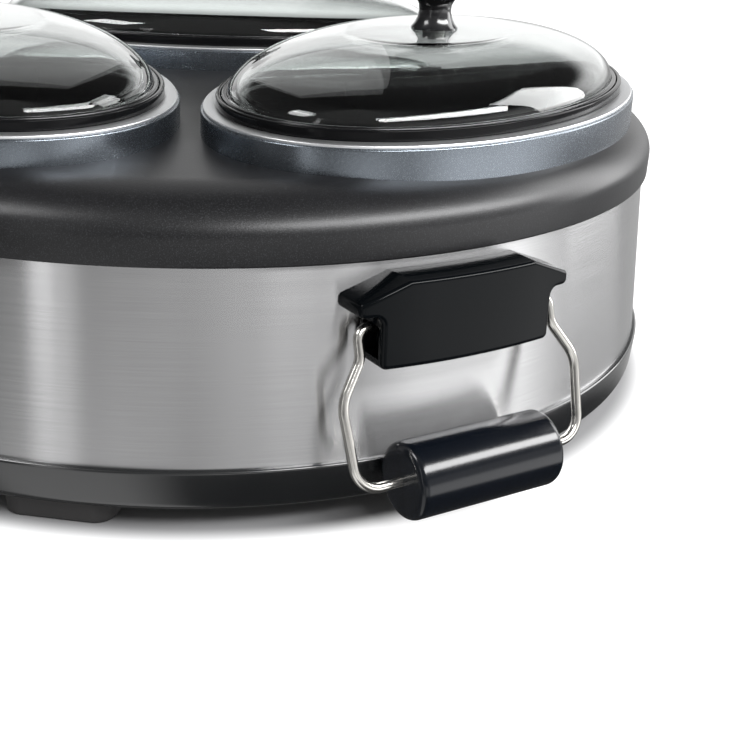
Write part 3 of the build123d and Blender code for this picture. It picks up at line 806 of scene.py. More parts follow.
@dataclass
class Body:
    """The base, the steel band and the painted cover."""

    foot_height: float = 8.3
    ledge: float = 24.5
    lip: float = 96.3
    deck: float = 120.4
    collar_top: float = 129.9
    band_radius: float = 205.0
    band_top_radius: float = 201.1
    band_wall: float = 0.8
    rim: float = 2.0
    cover_radius: float = 203.4
    lip_radius: float = 203.2
    lip_depth: float = 8.8
    shoulder: float = 25.4
    cover_wall: float = 2.5
    collar_overhang: float = 1.0
    collar_wall: float = 3.2
    ledge_width: float = 3.8
    ledge_thickness: float = 1.5
    flange: float = 1.2
    collar_drop: float = 14.0
    base_draft: float = 1.5
    base_side: float = 3.0
    base_floor: float = 2.5
    upstand: float = 10.0
    upstand_draft: float = 0.5
    fit: float = 0.2
    band_tuck: float = 3.0
    band_steps: int = 24
    segments: int = 300
    shoulder_steps: int = 22
    deck_circles: Sequence[float] = (160.0, 135.0, 105.0, 75.0, 45.0, 20.0, 4.0)
    clearance: float = 1.0
    base_rounds: Sequence[float] = (0, 4.0, 1.0, 0, 0.6, 0.6, 2.5, 0)
    lip_rounds: Sequence[float] = (0, 0.8, 0.5, 0)
    collar_rounds: Sequence[float] = (0, 0.8, 0.3, 0, 0.2, 0.2, 0, 0, 0)

    def band_at(self, height: float) -> float:
        """Outer radius of the band at a height."""
        slope = (self.band_radius - self.band_top_radius) / (self.lip - self.ledge)
        return self.band_radius - slope * (height - self.ledge)

    def base(self) -> None:
        """The black base with its proud rim and its floor."""
        seat = self.band_radius + self.rim
        inner = self.band_radius - self.band_wall - self.fit
        side, top = inner - self.base_side, self.ledge + self.upstand
        floor = self.foot_height + self.base_floor
        corners = [
            (0.0, self.foot_height), (seat - self.base_draft, self.foot_height), (seat, self.ledge),
            (inner, self.ledge), (inner - self.upstand_draft, top), (side, top), (side, floor), (0.0, floor),
        ]
        piece = lathe(rounded(corners, self.base_rounds), closed=False).build("base", [BASE_PLASTIC])
        enter(piece, "root", Slot.BASE, "base_pan")

    def band(self) -> None:
        """The brushed steel band."""
        run = self.lip + self.band_tuck - self.ledge
        heights = [self.ledge + run * k / self.band_steps for k in range(self.band_steps + 1)]
        outside = [(self.band_at(z), z) for z in heights]
        inside = [(r - self.band_wall, z) for r, z in reversed(outside)]
        piece = lathe(outside + inside, segments=360).build("band", [BAND_STEEL])
        enter(piece, "root", Slot.BAND, "steel_band")

    def skin(self, shell: Shell, rings: Sequence[Pair], rise: Callable[[float], float], up: bool) -> None:
        """Add the deck's upper or lower skin, with the collars' ovals left open.

        Args:
            shell: The shell to add it to.
            rings: Radius and height of each circle of points, from the outermost in.
            rise: The skin's height at a radius.
            up: Whether it is the upper skin.
        """
        places: list[Vector] = []
        heights: list[float] = []
        for radius, height in rings:
            for k in range(self.segments):
                spot = around(360 * k / self.segments, radius, 0)
                if radius != rings[0][0] and any(self.covers(pot, spot, self.clearance) for pot in POTS):
                    continue
                places.append(spot.to_2d())
                heights.append(height)
        edges = [(k, (k + 1) % self.segments) for k in range(self.segments)]
        for pot in POTS:
            start = len(places)
            ring = pot.ring(-self.collar_overhang, 0)
            places.extend(p.to_2d() for p in ring)
            heights.extend(rise(p.length) for p in ring)
            edges.extend((start + k, start + (k + 1) % len(ring)) for k in range(len(ring)))
        spots, _, faces, origins, _, _ = delaunay_2d_cdt(places, edges, [], 0, 1e-6)
        level = [heights[o[0]] if o else rise(s.length) for s, o in zip(spots, origins)]
        numbers = shell.loop((s.x, s.y, z) for s, z in zip(spots, level))
        for face in faces:
            middle = sum((spots[i] for i in face), Vector((0, 0))) / len(face)
            if any(self.covers(pot, middle.to_3d(), 0.0) for pot in POTS):
                continue
            corners = tuple(numbers[i] for i in face)
            shell.face(corners if up else corners[::-1])

    def covers(self, pot: Pot, spot: Vector, margin: float) -> bool:
        """Whether a pot's collar covers a spot.

        Args:
            pot: The pot.
            spot: The spot.
            margin: How far the collar's oval is grown.

        Returns:
            True inside the grown oval.
        """
        turn = radians(pot.angle)
        away = spot - pot.centre(0)
        along = away.x * cos(turn) + away.y * sin(turn)
        across = -away.x * sin(turn) + away.y * cos(turn)
        length = pot.half_length + self.collar_overhang + margin
        width = pot.half_width + self.collar_overhang + margin
        return (along / length) ** 2 + (across / width) ** 2 < 1

    def cover(self) -> None:
        """The painted cover: lip, rolled shoulder, deck and three collars."""
        base = self.lip + self.lip_depth
        flat = self.cover_radius - self.shoulder
        rise = self.deck - base
        inner = self.band_at(self.lip) + self.fit

        def outside(radius: float) -> float:
            """Height of the outer skin at a radius."""
            reach = max(0.0, min(1.0, (radius - flat) / self.shoulder))
            return base + rise * sqrt(1 - reach * reach)

        def inside(radius: float) -> float:
            """Height of the inner skin at a radius."""
            reach = max(0.0, min(1.0, (radius - flat) / (inner - flat)))
            return base + (rise - self.cover_wall) * sqrt(1 - reach * reach)

        turns = [pi / 2 * k / self.shoulder_steps for k in range(self.shoulder_steps + 1)]
        under = rise - self.cover_wall
        outer_rings = [(flat + self.shoulder * cos(t), base + rise * sin(t)) for t in turns]
        inner_rings = [(flat + (inner - flat) * cos(t), base + under * sin(t)) for t in turns]
        shell = Shell()
        outer_rings += [(r, self.deck) for r in self.deck_circles]
        inner_rings += [(r, self.deck - self.cover_wall) for r in self.deck_circles]
        self.skin(shell, outer_rings, outside, True)
        self.skin(shell, inner_rings, inside, False)
        corners = [(self.cover_radius, base), (self.lip_radius, self.lip), (inner, self.lip), (inner, base)]
        angles = [360 * k / self.segments for k in range(self.segments)]
        rim = rounded(corners, self.lip_rounds)
        shell.stack([[around(angle, r, z) for angle in angles] for r, z in rim])
        outer, step = -self.collar_overhang, self.collar_wall - self.collar_overhang
        bottom, ledge = self.deck - self.collar_drop, self.collar_top - self.flange
        reach, under = step + self.ledge_width, ledge - self.ledge_thickness
        corners = [
            (outer, bottom), (outer, self.collar_top), (step, self.collar_top), (step, ledge),
            (reach, ledge), (reach, under), (step, under), (step, bottom), (outer, bottom),
        ]
        profile = rounded(corners, self.collar_rounds, steps=4)
        for pot in POTS:
            edge = pot.ring(outer, 0)
            top = [Vector((p.x, p.y, outside(p.to_2d().length))) for p in edge]
            low = [Vector((p.x, p.y, inside(p.to_2d().length))) for p in edge]
            shell.stack([top, *(pot.ring(inset, z) for inset, z in profile[1:]), low], finish=1)
        piece = shell.build("cover", [COVER_PAINT, COLLAR_PAINT])
        enter(piece, "root", Slot.COVER, "top_cover")

    def build(self) -> None:
        """Build the body's pieces."""
        self.base()
        self.band()
        self.cover()


@dataclass
class Vessel:
    """A ring, a well, a crock and a lid for one pot."""

    pot: Pot
    ring_width: float = 8.0
    ring_bottom: float = 129.9
    ring_top: float = 131.3
    ring_crown: float = 0.35
    crock_bottom: float = 37.8
    crock_top: float = 135.3
    crock_gap: float = 2.4
    crock_wall: float = 6.0
    taper: float = 7.0
    overlap: float = 3.0
    seat: float = 133.4
    lid_gap: float = 0.4
    lid_rim_width: float = 3.2
    lid_rim_height: float = 2.3
    glass_base: float = 134.7
    glass_lip: float = 1.2
    glass: float = 3.5
    lid_rise: float = 21.0
    crown: float = 13.0
    steepest: float = 70.0
    step_width: float = 1.8
    floor_inset: float = 24.0
    glass_gap: float = 0.05
    screw_hole: float = 2.4
    dome_steps: int = 30
    knob_steps: int = 64
    crown_place: float = 0.45
    ring_rounds: Sequence[float] = (0.2, 0.5, 9.0, 0.4, 0.2)
    crock_rounds: Sequence[float] = (9.0, 0.0, 0.5, 0.85, 0.5, 0.3, 1.6, 8.0)
    trim_rounds: Sequence[float] = (0.3, 0.9, 0.35, 0, 0.2, 0.3)
    knob_profile: Sequence[Pair] = (
        (0.0, 0.0), (9.7, 0.0), (9.7, 0.6), (8.3, 2.2), (7.2, 4.4), (6.6, 7.0), (6.9, 9.6), (8.4, 12.2),
        (11.4, 14.4), (14.4, 15.6), (15.7, 16.4), (16.0, 17.6), (15.5, 19.4), (13.7, 21.4), (11.0, 22.6),
        (8.4, 23.0), (4.0, 23.0), (0.0, 23.0),
    )

    def ring(self) -> None:
        """The bright ring, a little rolled over at its outer edge."""
        edge = self.ring_top - self.ring_crown
        corners = [
            (0.0, self.ring_bottom), (0.0, edge), (self.ring_width * self.crown_place, self.ring_top),
            (self.ring_width, edge), (self.ring_width, self.ring_bottom),
        ]
        shell = self.pot.turned(rounded(corners, self.ring_rounds))
        piece = shell.build(f"ring_{self.pot.side}", [RING_METAL])
        enter(piece, "root", Slot.RING, f"rim_ring_{self.pot.side}")

    def crock(self) -> None:
        """The glazed stoneware pot with its rolled rim and the step for the lid."""
        gap = self.ring_width + self.crock_gap
        rim = self.ring_width - self.overlap
        step = rim + self.step_width
        cavity = gap + self.crock_wall
        floor = self.crock_bottom + self.crock_wall
        corners = [
            (gap + self.taper, self.crock_bottom), (gap, self.ring_top), (rim, self.ring_top),
            (rim, self.crock_top), (step, self.crock_top), (step, self.seat), (cavity, self.seat),
            (cavity + self.taper, floor),
        ]
        outline = rounded(corners, self.crock_rounds, steps=7)
        shell = Shell()
        shell.stack([self.pot.ring(inset, z) for inset, z in outline])
        for inset, height in ((outline[0][0], self.crock_bottom), (outline[-1][0], floor)):
            rings = [self.pot.ring(inset + extra, height) for extra in (0.0, self.floor_inset)]
            shell.stack(rings)
            shell.fan(rings[-1], self.pot.centre(height))
        piece = shell.build(f"stoneware_{self.pot.side}", [CROCK_GLAZE])
        enter(piece, f"crock_{self.pot.side}", Slot.GLAZE, f"crock_{self.pot.side}")

    def lid(self) -> None:
        """The steel rim, the domed glass and the knob."""
        side = self.pot.side
        outer = self.ring_width - self.overlap + self.step_width + self.lid_gap
        inner = outer + self.lid_rim_width
        lip = inner - self.glass_lip
        rise = self.seat + self.lid_rim_height
        corners = [
            (outer, self.seat), (outer, rise), (lip, rise), (lip, self.glass_base),
            (inner, self.glass_base), (inner, self.seat),
        ]
        piece = self.pot.turned(rounded(corners, self.trim_rounds)).build(f"lid_trim_{side}", [LID_METAL])
        enter(piece, f"lid_{side}", Slot.LID_TRIM, f"lid_rim_{side}")
        length = self.pot.half_length - lip - self.glass_gap - self.crown
        width = self.pot.half_width - lip - self.glass_gap - self.crown
        hole = self.screw_hole

        def dome(inset: float) -> list[list[Vector]]:
            """Make one face of the glass, from its edge to its screw hole.

            Args:
                inset: How far it lies inside the outer face.

            Returns:
                Its rings.
            """
            rings = []
            for k in range(self.dome_steps + 1):
                step = radians(self.steepest * k / self.dome_steps)
                share = sin(step) / sin(radians(self.steepest))
                across = [self.crown + (half - inset) * cos(step) for half in (length, width)]
                rings.append(self.pot.sized(*across, self.glass_base + share * (self.lid_rise - inset)))
            top = self.glass_base + self.lid_rise - inset
            rings.append(self.pot.sized(hole * 6, hole * 4, top))
            rings.append(self.pot.sized(hole, hole, top))
            return rings

        shell = Shell()
        shell.stack(dome(0.0) + dome(self.glass)[::-1], closed=True)
        glass = shell.build(f"glass_{side}", [LID_GLASS])
        enter(glass, f"lid_{side}", Slot.GLASS, f"lid_glass_{side}")
        self.knob()

    def knob(self) -> None:
        """The turned knob."""
        side = self.pot.side
        centre = self.pot.centre(self.glass_base + self.lid_rise)
        shell = Shell()
        angles = [360 * k / self.knob_steps for k in range(self.knob_steps)]
        shell.stack([[centre + around(angle, r, z) for angle in angles] for r, z in self.knob_profile])
        piece = shell.build(f"knob_{side}", [KNOB_PLASTIC])
        enter(piece, f"lid_{side}", Slot.KNOB, f"lid_knob_{side}")

    def build(self) -> None:
        """Build the pot's pieces."""
        self.ring()
        self.crock()
        self.lid()


@dataclass
class Handle:
    """One side's bracket, bail and grip."""

    side: str
    angle: float
    front: float = 216.3
    half: float = 43.8
    block: float = 35.6
    crown: float = 25.9
    crown_top: float = 92.9
    wing_top: float = 85.9
    wing_bottom: float = 81.1
    bottom: float = 62.0
    pivot: Pair = (204.9, 75.2)
    wire: float = 1.85
    grip_axis: Pair = (221.5, 23.0)
    grip_radius: float = 14.2
    grip_half: float = 31.0
    edge: float = 1.5
    edge_steps: int = 6
    face_inset: float = 0.3
    end_area: float = 60.0
    pocket_wall: float = 1.6
    pocket_depth: float = 5.0
    end_facing: float = 0.99
    slices: int = 10
    slice_width: float = 4.0
    sharpest: float = 0.05
    rounds: Sequence[float] = (2.2, -3.0, 1.9, 2.2, 2.2)
    wire_end: float = 28.1
    wire_corners: Sequence[Pair] = ((40.9, 0.0), (40.9, -10.3), (50.2, -24.2))
    wire_reach: float = 48.1
    bends: Sequence[float] = (0, 4.5, 9.0, 14.0, 9.5)
    grip_round: float = 3.0
    grip_steps: int = 8
    disc_steps: int = 40
    hole_steps: int = 12
    hole_fit: float = 0.06
    seam: float = 0.05
    seam_ease: float = 0.35
    wall: Callable[[float], float] = field(default=Body().band_at)

    def spot(self, across: float, radius: float, height: float) -> Vector:
        """Place a point of the handle.

        Args:
            across: Its distance across from the handle's middle.
            radius: Its distance out from the body's axis, at the middle.
            height: Its height.

        Returns:
            The point.
        """
        turn = radians(self.angle)
        along = Vector((cos(turn), sin(turn), 0))
        return around(self.angle, radius, height) + along * across

    def bracket(self) -> None:
        """The moulded bracket: a rounded front edge, a curved face and a pocket at each end."""
        work = bmesh.new()
        rings = []
        for k in range(self.edge_steps + 1):
            turn = pi / 2 * k / self.edge_steps
            inset = self.edge * (1 - cos(turn))
            rings.append([(x, self.edge * (sin(turn) - 1), z) for x, z in self.outline(inset)])
        rings.append([(x, 0.0, z) for x, z in self.outline(self.edge + self.face_inset)])
        rings.insert(0, [(x, self.wall(z) - self.front, z) for x, z in self.outline(0.0)])
        loops = [[work.verts.new(p) for p in ring] for ring in rings]
        for first, second in zip(loops, loops[1:]):
            for i in range(len(first)):
                j = (i + 1) % len(first)
                work.faces.new((first[i], first[j], second[j], second[i]))
        work.faces.new(loops[-1])
        work.faces.new(loops[0][::-1])
        bmesh.ops.recalc_face_normals(work, faces=work.faces[:])
        ends = [f for f in work.faces if abs(f.normal.x) > self.end_facing and f.calc_area() > self.end_area]
        bmesh.ops.inset_individual(work, faces=ends, thickness=self.pocket_wall, depth=0.0)
        deep = bmesh.ops.extrude_discrete_faces(work, faces=ends)["faces"]
        for face in deep:
            side = 1.0 if face.calc_center_median().x > 0 else -1.0
            bmesh.ops.translate(work, verts=face.verts[:], vec=(-side * self.pocket_depth, 0.0, 0.0))
        for step in range(-self.slices, self.slices + 1):
            cut = {"plane_co": (self.slice_width * step, 0.0, 0.0), "plane_no": (1.0, 0.0, 0.0)}
            bmesh.ops.bisect_plane(work, geom=work.verts[:] + work.edges[:] + work.faces[:], **cut)
        shell = Shell()
        for corner in work.verts:
            x, depth, z = corner.co
            reach = self.front + depth
            corner.index = shell.loop([self.spot(x, sqrt(reach * reach - x * x), z)])[0]
        for face in work.faces:
            shell.face(tuple(corner.index for corner in face.verts))
        work.free()
        piece = shell.build(f"bracket_{self.side}", [BRACKET_PLASTIC])
        enter(piece, "root", Slot.BRACKET, f"handle_bracket_{self.side}")

    def outline(self, inset: float) -> list[Pair]:
        """Draw the bracket's outline as seen from outside, a negative round being a hollow one.

        Args:
            inset: How far it is drawn in.

        Returns:
            Its points, with rounded corners.
        """
        right = [
            (self.block, self.bottom), (self.block, self.wing_bottom), (self.half, self.wing_bottom),
            (self.half, self.wing_top), (self.crown, self.crown_top),
        ]
        spots = [Vector(spot) for spot in right + [(-x, z) for x, z in reversed(right)]]
        corners = []
        for i, spot in enumerate(spots):
            before = (spot - spots[i - 1]).normalized()
            after = (spots[(i + 1) % len(spots)] - spot).normalized()
            first, second = (Vector((-v.y, v.x)) for v in (before, after))
            corners.append(tuple(spot + (first + second) * (inset / (1 + first.dot(second)))))
        rounds = [*self.rounds, *reversed(self.rounds)]
        radii = [max(self.sharpest, r - inset) if r > 0 else inset - r for r in rounds]
        return rounded(corners, radii, steps=5)

    def hang(self) -> tuple[float, float, float]:
        """How the grip hangs from the wire's pivots.

        Returns:
            Its distance from them, and the shares of that which go down and out.
        """
        drop = self.pivot[1] - self.grip_axis[1]
        swing = self.grip_axis[0] - self.pivot[0]
        run = hypot(drop, swing)
        return run, drop / run, swing / run

    def route(self) -> list[Vector]:
        """Lay out the bent wire.

        Returns:
            Points along it, from one pivot to the other.
        """
        run, down, away = self.hang()
        half_route = [(self.wire_end, 0.0), *self.wire_corners, (self.wire_reach, -run)]
        corners = half_route + [(-x, y) for x, y in reversed(half_route)]
        flat = rounded(corners, [*self.bends, *reversed(self.bends)], steps=12)
        radius, height = self.pivot
        return [self.spot(x, radius - y * away, height + y * down) for x, y in flat]

    def bail(self) -> None:
        """The bent wire."""
        mesh = bpy.data.meshes.new(f"bail_path_{self.side}")
        points = [p * MM for p in self.route()]
        mesh.from_pydata(points, [(k, k + 1) for k in range(len(points) - 1)], [])
        piece = wire_along(mesh, f"wire_{self.side}", self.wire, WIRE_METAL)
        enter(piece, f"bail_{self.side}", Slot.WIRE, f"bail_{self.side}")

    def grip(self) -> None:
        """The grip's two moulded halves, which meet in a fine seam."""
        _, down, away = self.hang()
        out = around(self.angle, 1.0, 0)
        lay = (out * down + Vector((0, 0, away))).normalized()
        up = Vector((0, 0, 1)) * down - out * away
        along = self.spot(1.0, 0, 0) - self.spot(0.0, 0, 0)
        centre = self.spot(0.0, *self.grip_axis)
        ease = self.grip_round
        turns = [pi / 2 * k / self.grip_steps for k in range(self.grip_steps + 1)]
        flat, full = self.grip_half, self.grip_radius
        stations = [(ease * (1 - cos(t)) - flat, full - ease * (1 - sin(t))) for t in turns]
        stations += [(-x, r) for x, r in reversed(stations)]
        for name, sign in (("front", 1.0), ("back", -1.0)):
            shell = Shell()
            rings = [self.half_disc(centre + along * x, lay * sign, up, radius) for x, radius in stations]
            shell.stack(rings)
            shell.face(tuple(shell.loop(rings[0])))
            shell.face(tuple(shell.loop(rings[-1]))[::-1])
            piece = shell.build(f"grip_{name}_half_{self.side}", [GRIP_PLASTIC])
            enter(piece, f"grip_{self.side}", Slot.GRIP, f"grip_{name}_{self.side}")

    def half_disc(self, centre: Vector, lay: Vector, up: Vector, radius: float) -> list[Vector]:
        """Draw a half disc with a half hole for the wire, its seam edges eased.

        Args:
            centre: The wire's centre.
            lay: The way that the half faces.
            up: The way along its seam.
            radius: Its outer radius.

        Returns:
            Its points.
        """
        hole = self.wire + self.hole_fit
        first = (self.seam + self.seam_ease) / radius
        turns = [first + (pi - 2 * first) * k / self.disc_steps for k in range(self.disc_steps + 1)]
        backs = [pi - pi * k / self.hole_steps for k in range(self.hole_steps + 1)]
        edge = radius - self.seam_ease
        outer = [(self.seam, edge), *((radius * sin(t), radius * cos(t)) for t in turns), (self.seam, -edge)]
        inner = [(max(self.seam, hole * sin(t)), hole * cos(t)) for t in backs]
        return [centre + lay * x + up * y for x, y in outer + inner]

    def build(self) -> None:
        """Build the handle's pieces."""
        self.bracket()
        self.bail()
        self.grip()


class Growth(Tree):
    """A geometry node tree with named inputs, which ends in real instances with a finish."""

    def __init__(self, name: str, inputs: dict[str, tuple[str, Any]]) -> None:
        """Make the tree, its sockets and its input node.

        Args:
            name: The tree's name.
            inputs: Socket type and value of each input, by name.
        """
        super().__init__(bpy.data.node_groups.new(name, "GeometryNodeTree"))
        face = self.tree.interface
        for way in ("INPUT", "OUTPUT"):
            face.new_socket("Geometry", in_out=way, socket_type="NodeSocketGeometry")
        self.values: dict[str, Any] = {}
        for label, (kind, value) in inputs.items():
            self.values[face.new_socket(label, in_out="INPUT", socket_type=kind).identifier] = value
        self.start = self.add("NodeGroupInput").outputs

    def grow(
        self, mesh: bpy.types.Mesh, name: str, made: bpy.types.NodeSocket, finish: Finish
    ) -> bpy.types.Object:
        """End the tree, run it on a mesh and keep what it makes.

        Args:
            mesh: The mesh that it starts from.
            name: Name of the piece.
            made: The tree's last geometry.
            finish: The finish.

        Returns:
            The piece, a plain mesh at the origin.
        """
        real = self.add("GeometryNodeRealizeInstances", {"Geometry": made}).outputs["Geometry"]
        dressed = self.add("GeometryNodeSetMaterial", {"Geometry": real, "Material": finish.material()})
        self.add("NodeGroupOutput", {"Geometry": dressed.outputs["Geometry"]})
        carrier = added(f"{name}_carrier", mesh)
        modifier = carrier.modifiers.new("grow", "NODES")
        modifier.node_group = self.tree
        for key, value in self.values.items():
            modifier[key] = value
        graph = bpy.context.evaluated_depsgraph_get()
        kept = bpy.data.meshes.new_from_object(carrier.evaluated_get(graph))
        bpy.data.objects.remove(carrier)
        kept.name = name
        return added(name, kept)


def wire_along(path: bpy.types.Mesh, name: str, radius: float, finish: Finish) -> bpy.types.Object:
    """A round wire along a path, made by geometry nodes.

    Args:
        path: A mesh of edges.
        name: Name of the piece.
        radius: The wire's radius, in millimetres.
        finish: Its finish.

    Returns:
        The wire.
    """
    graph = Growth("wire_along_path", {"Wire radius": ("NodeSocketFloat", radius * MM)})
    line = graph.add("GeometryNodeMeshToCurve", {"Mesh": graph.start["Geometry"]}).outputs["Curve"]
    size = {"Resolution": 28, "Radius": graph.start["Wire radius"]}
    ring = graph.add("GeometryNodeCurvePrimitiveCircle", size).outputs["Curve"]
    sweep = {"Curve": line, "Profile Curve": ring, "Fill Caps": True}
    tube = graph.add("GeometryNodeCurveToMesh", sweep).outputs["Mesh"]
    piece = graph.grow(path, name, tube, finish)
    tidy(piece)
    return piece


def marks_on_points(
    points: bpy.types.Mesh, name: str, radius: float, corners: int, finish: Finish
) -> bpy.types.Object:
    """Flat round marks on points, made by geometry nodes.

    Args:
        points: A mesh of points with the attributes facing and size.
        name: Name of the piece.
        radius: Radius of a mark of size 1, in millimetres.
        corners: Corners of each mark.
        finish: Its finish.

    Returns:
        The marks.
    """
    wanted = {"Mark radius": ("NodeSocketFloat", radius * MM), "Mark corners": ("NodeSocketInt", corners)}
    graph = Growth("marks_on_points", wanted)
    size = {"Vertices": graph.start["Mark corners"], "Radius": graph.start["Mark radius"]}
    disc = graph.add("GeometryNodeMeshCircle", size, fill_type="NGON").outputs["Mesh"]
    facing, scale = (
        graph.add("GeometryNodeInputNamedAttribute", {"Name": label}, data_type=kind).outputs["Attribute"]
        for label, kind in (("facing", "FLOAT_VECTOR"), ("size", "FLOAT"))
    )
    turned = graph.add("FunctionNodeAlignRotationToVector", {"Vector": facing}, axis="Z").outputs["Rotation"]
    spread = {"Points": graph.start["Geometry"], "Instance": disc, "Rotation": turned, "Scale": scale}
    placed = graph.add("GeometryNodeInstanceOnPoints", spread).outputs["Instances"]
    return graph.grow(points, name, placed, finish)


@dataclass
class ControlMarks:
    """The dots printed round each dial, and the line on each dial's bar."""

    dials: Sequence[tuple[str, float]] = (("left", -13.0), ("middle", 0.0), ("right", 13.0))
    panel_radius: float = 212.0
    dial_height: float = 56.0
    circle: float = 20.5
    sweep: float = 180.0
    dots: int = 7
    smallest: float = 0.5
    largest: float = 1.3
    ink: float = 0.03
    dot_corners: int = 20
    bar_top: float = 227.6
    line_start: float = 5.0
    line_end: float = 13.0
    line_half_width: float = 0.6
    line_depth: float = 0.1
    line_round: float = 0.9

    def scale(self) -> None:
        """Seven dots round each dial, clockwise from its top, each larger than the last."""
        spots: list[Vector] = []
        sizes: list[float] = []
        for _, angle in self.dials:
            for k in range(self.dots):
                turn = radians(self.sweep * k / (self.dots - 1))
                across = degrees(self.circle * sin(turn) / self.panel_radius)
                height = self.dial_height + self.circle * cos(turn)
                spots.append(around(angle + across, self.panel_radius + self.ink, height))
                sizes.append(self.smallest + (self.largest - self.smallest) * k / (self.dots - 1))
        mesh = bpy.data.meshes.new("scale_points")
        mesh.from_pydata([p * MM for p in spots], [], [])
        facing = mesh.attributes.new("facing", "FLOAT_VECTOR", "POINT")
        facing.data.foreach_set("vector", [c for p in spots for c in (p.x, p.y, 0.0)])
        size = mesh.attributes.new("size", "FLOAT", "POINT")
        size.data.foreach_set("value", sizes)
        piece = marks_on_points(mesh, "panel_scale", 1.0, self.dot_corners, MARK_INK)
        enter(piece, "root", Slot.PANEL)

    def line(self, side: str, angle: float) -> None:
        """Print the line on one dial's bar that points at the scale.

        Args:
            side: The dial's name.
            angle: Its angle from the front.
        """
        low, high, half = self.line_start, self.line_end, self.line_half_width
        corners = [(-half, low), (half, low), (half, high), (-half, high)]
        outline = rounded(corners, [half * self.line_round] * len(corners))
        out, along = around(angle, 1.0, 0.0), around(angle + 90.0, 1.0, 0.0)
        shell = Shell()
        for depth in (-self.line_depth, self.ink):
            middle = out * (self.bar_top + depth) + Vector((0, 0, self.dial_height))
            loop = shell.loop(middle + along * x + Vector((0, 0, z)) for x, z in outline)
            shell.face(tuple(loop))
        shell.strip(range(len(loop)), loop)
        piece = shell.build(f"pointer_{side}", [MARK_INK])
        enter(piece, f"dial_{side}", Slot.DIAL)

    def build(self) -> None:
        """Build the scale and the lines."""
        self.scale()
        for side, angle in self.dials:
            self.line(side, angle)


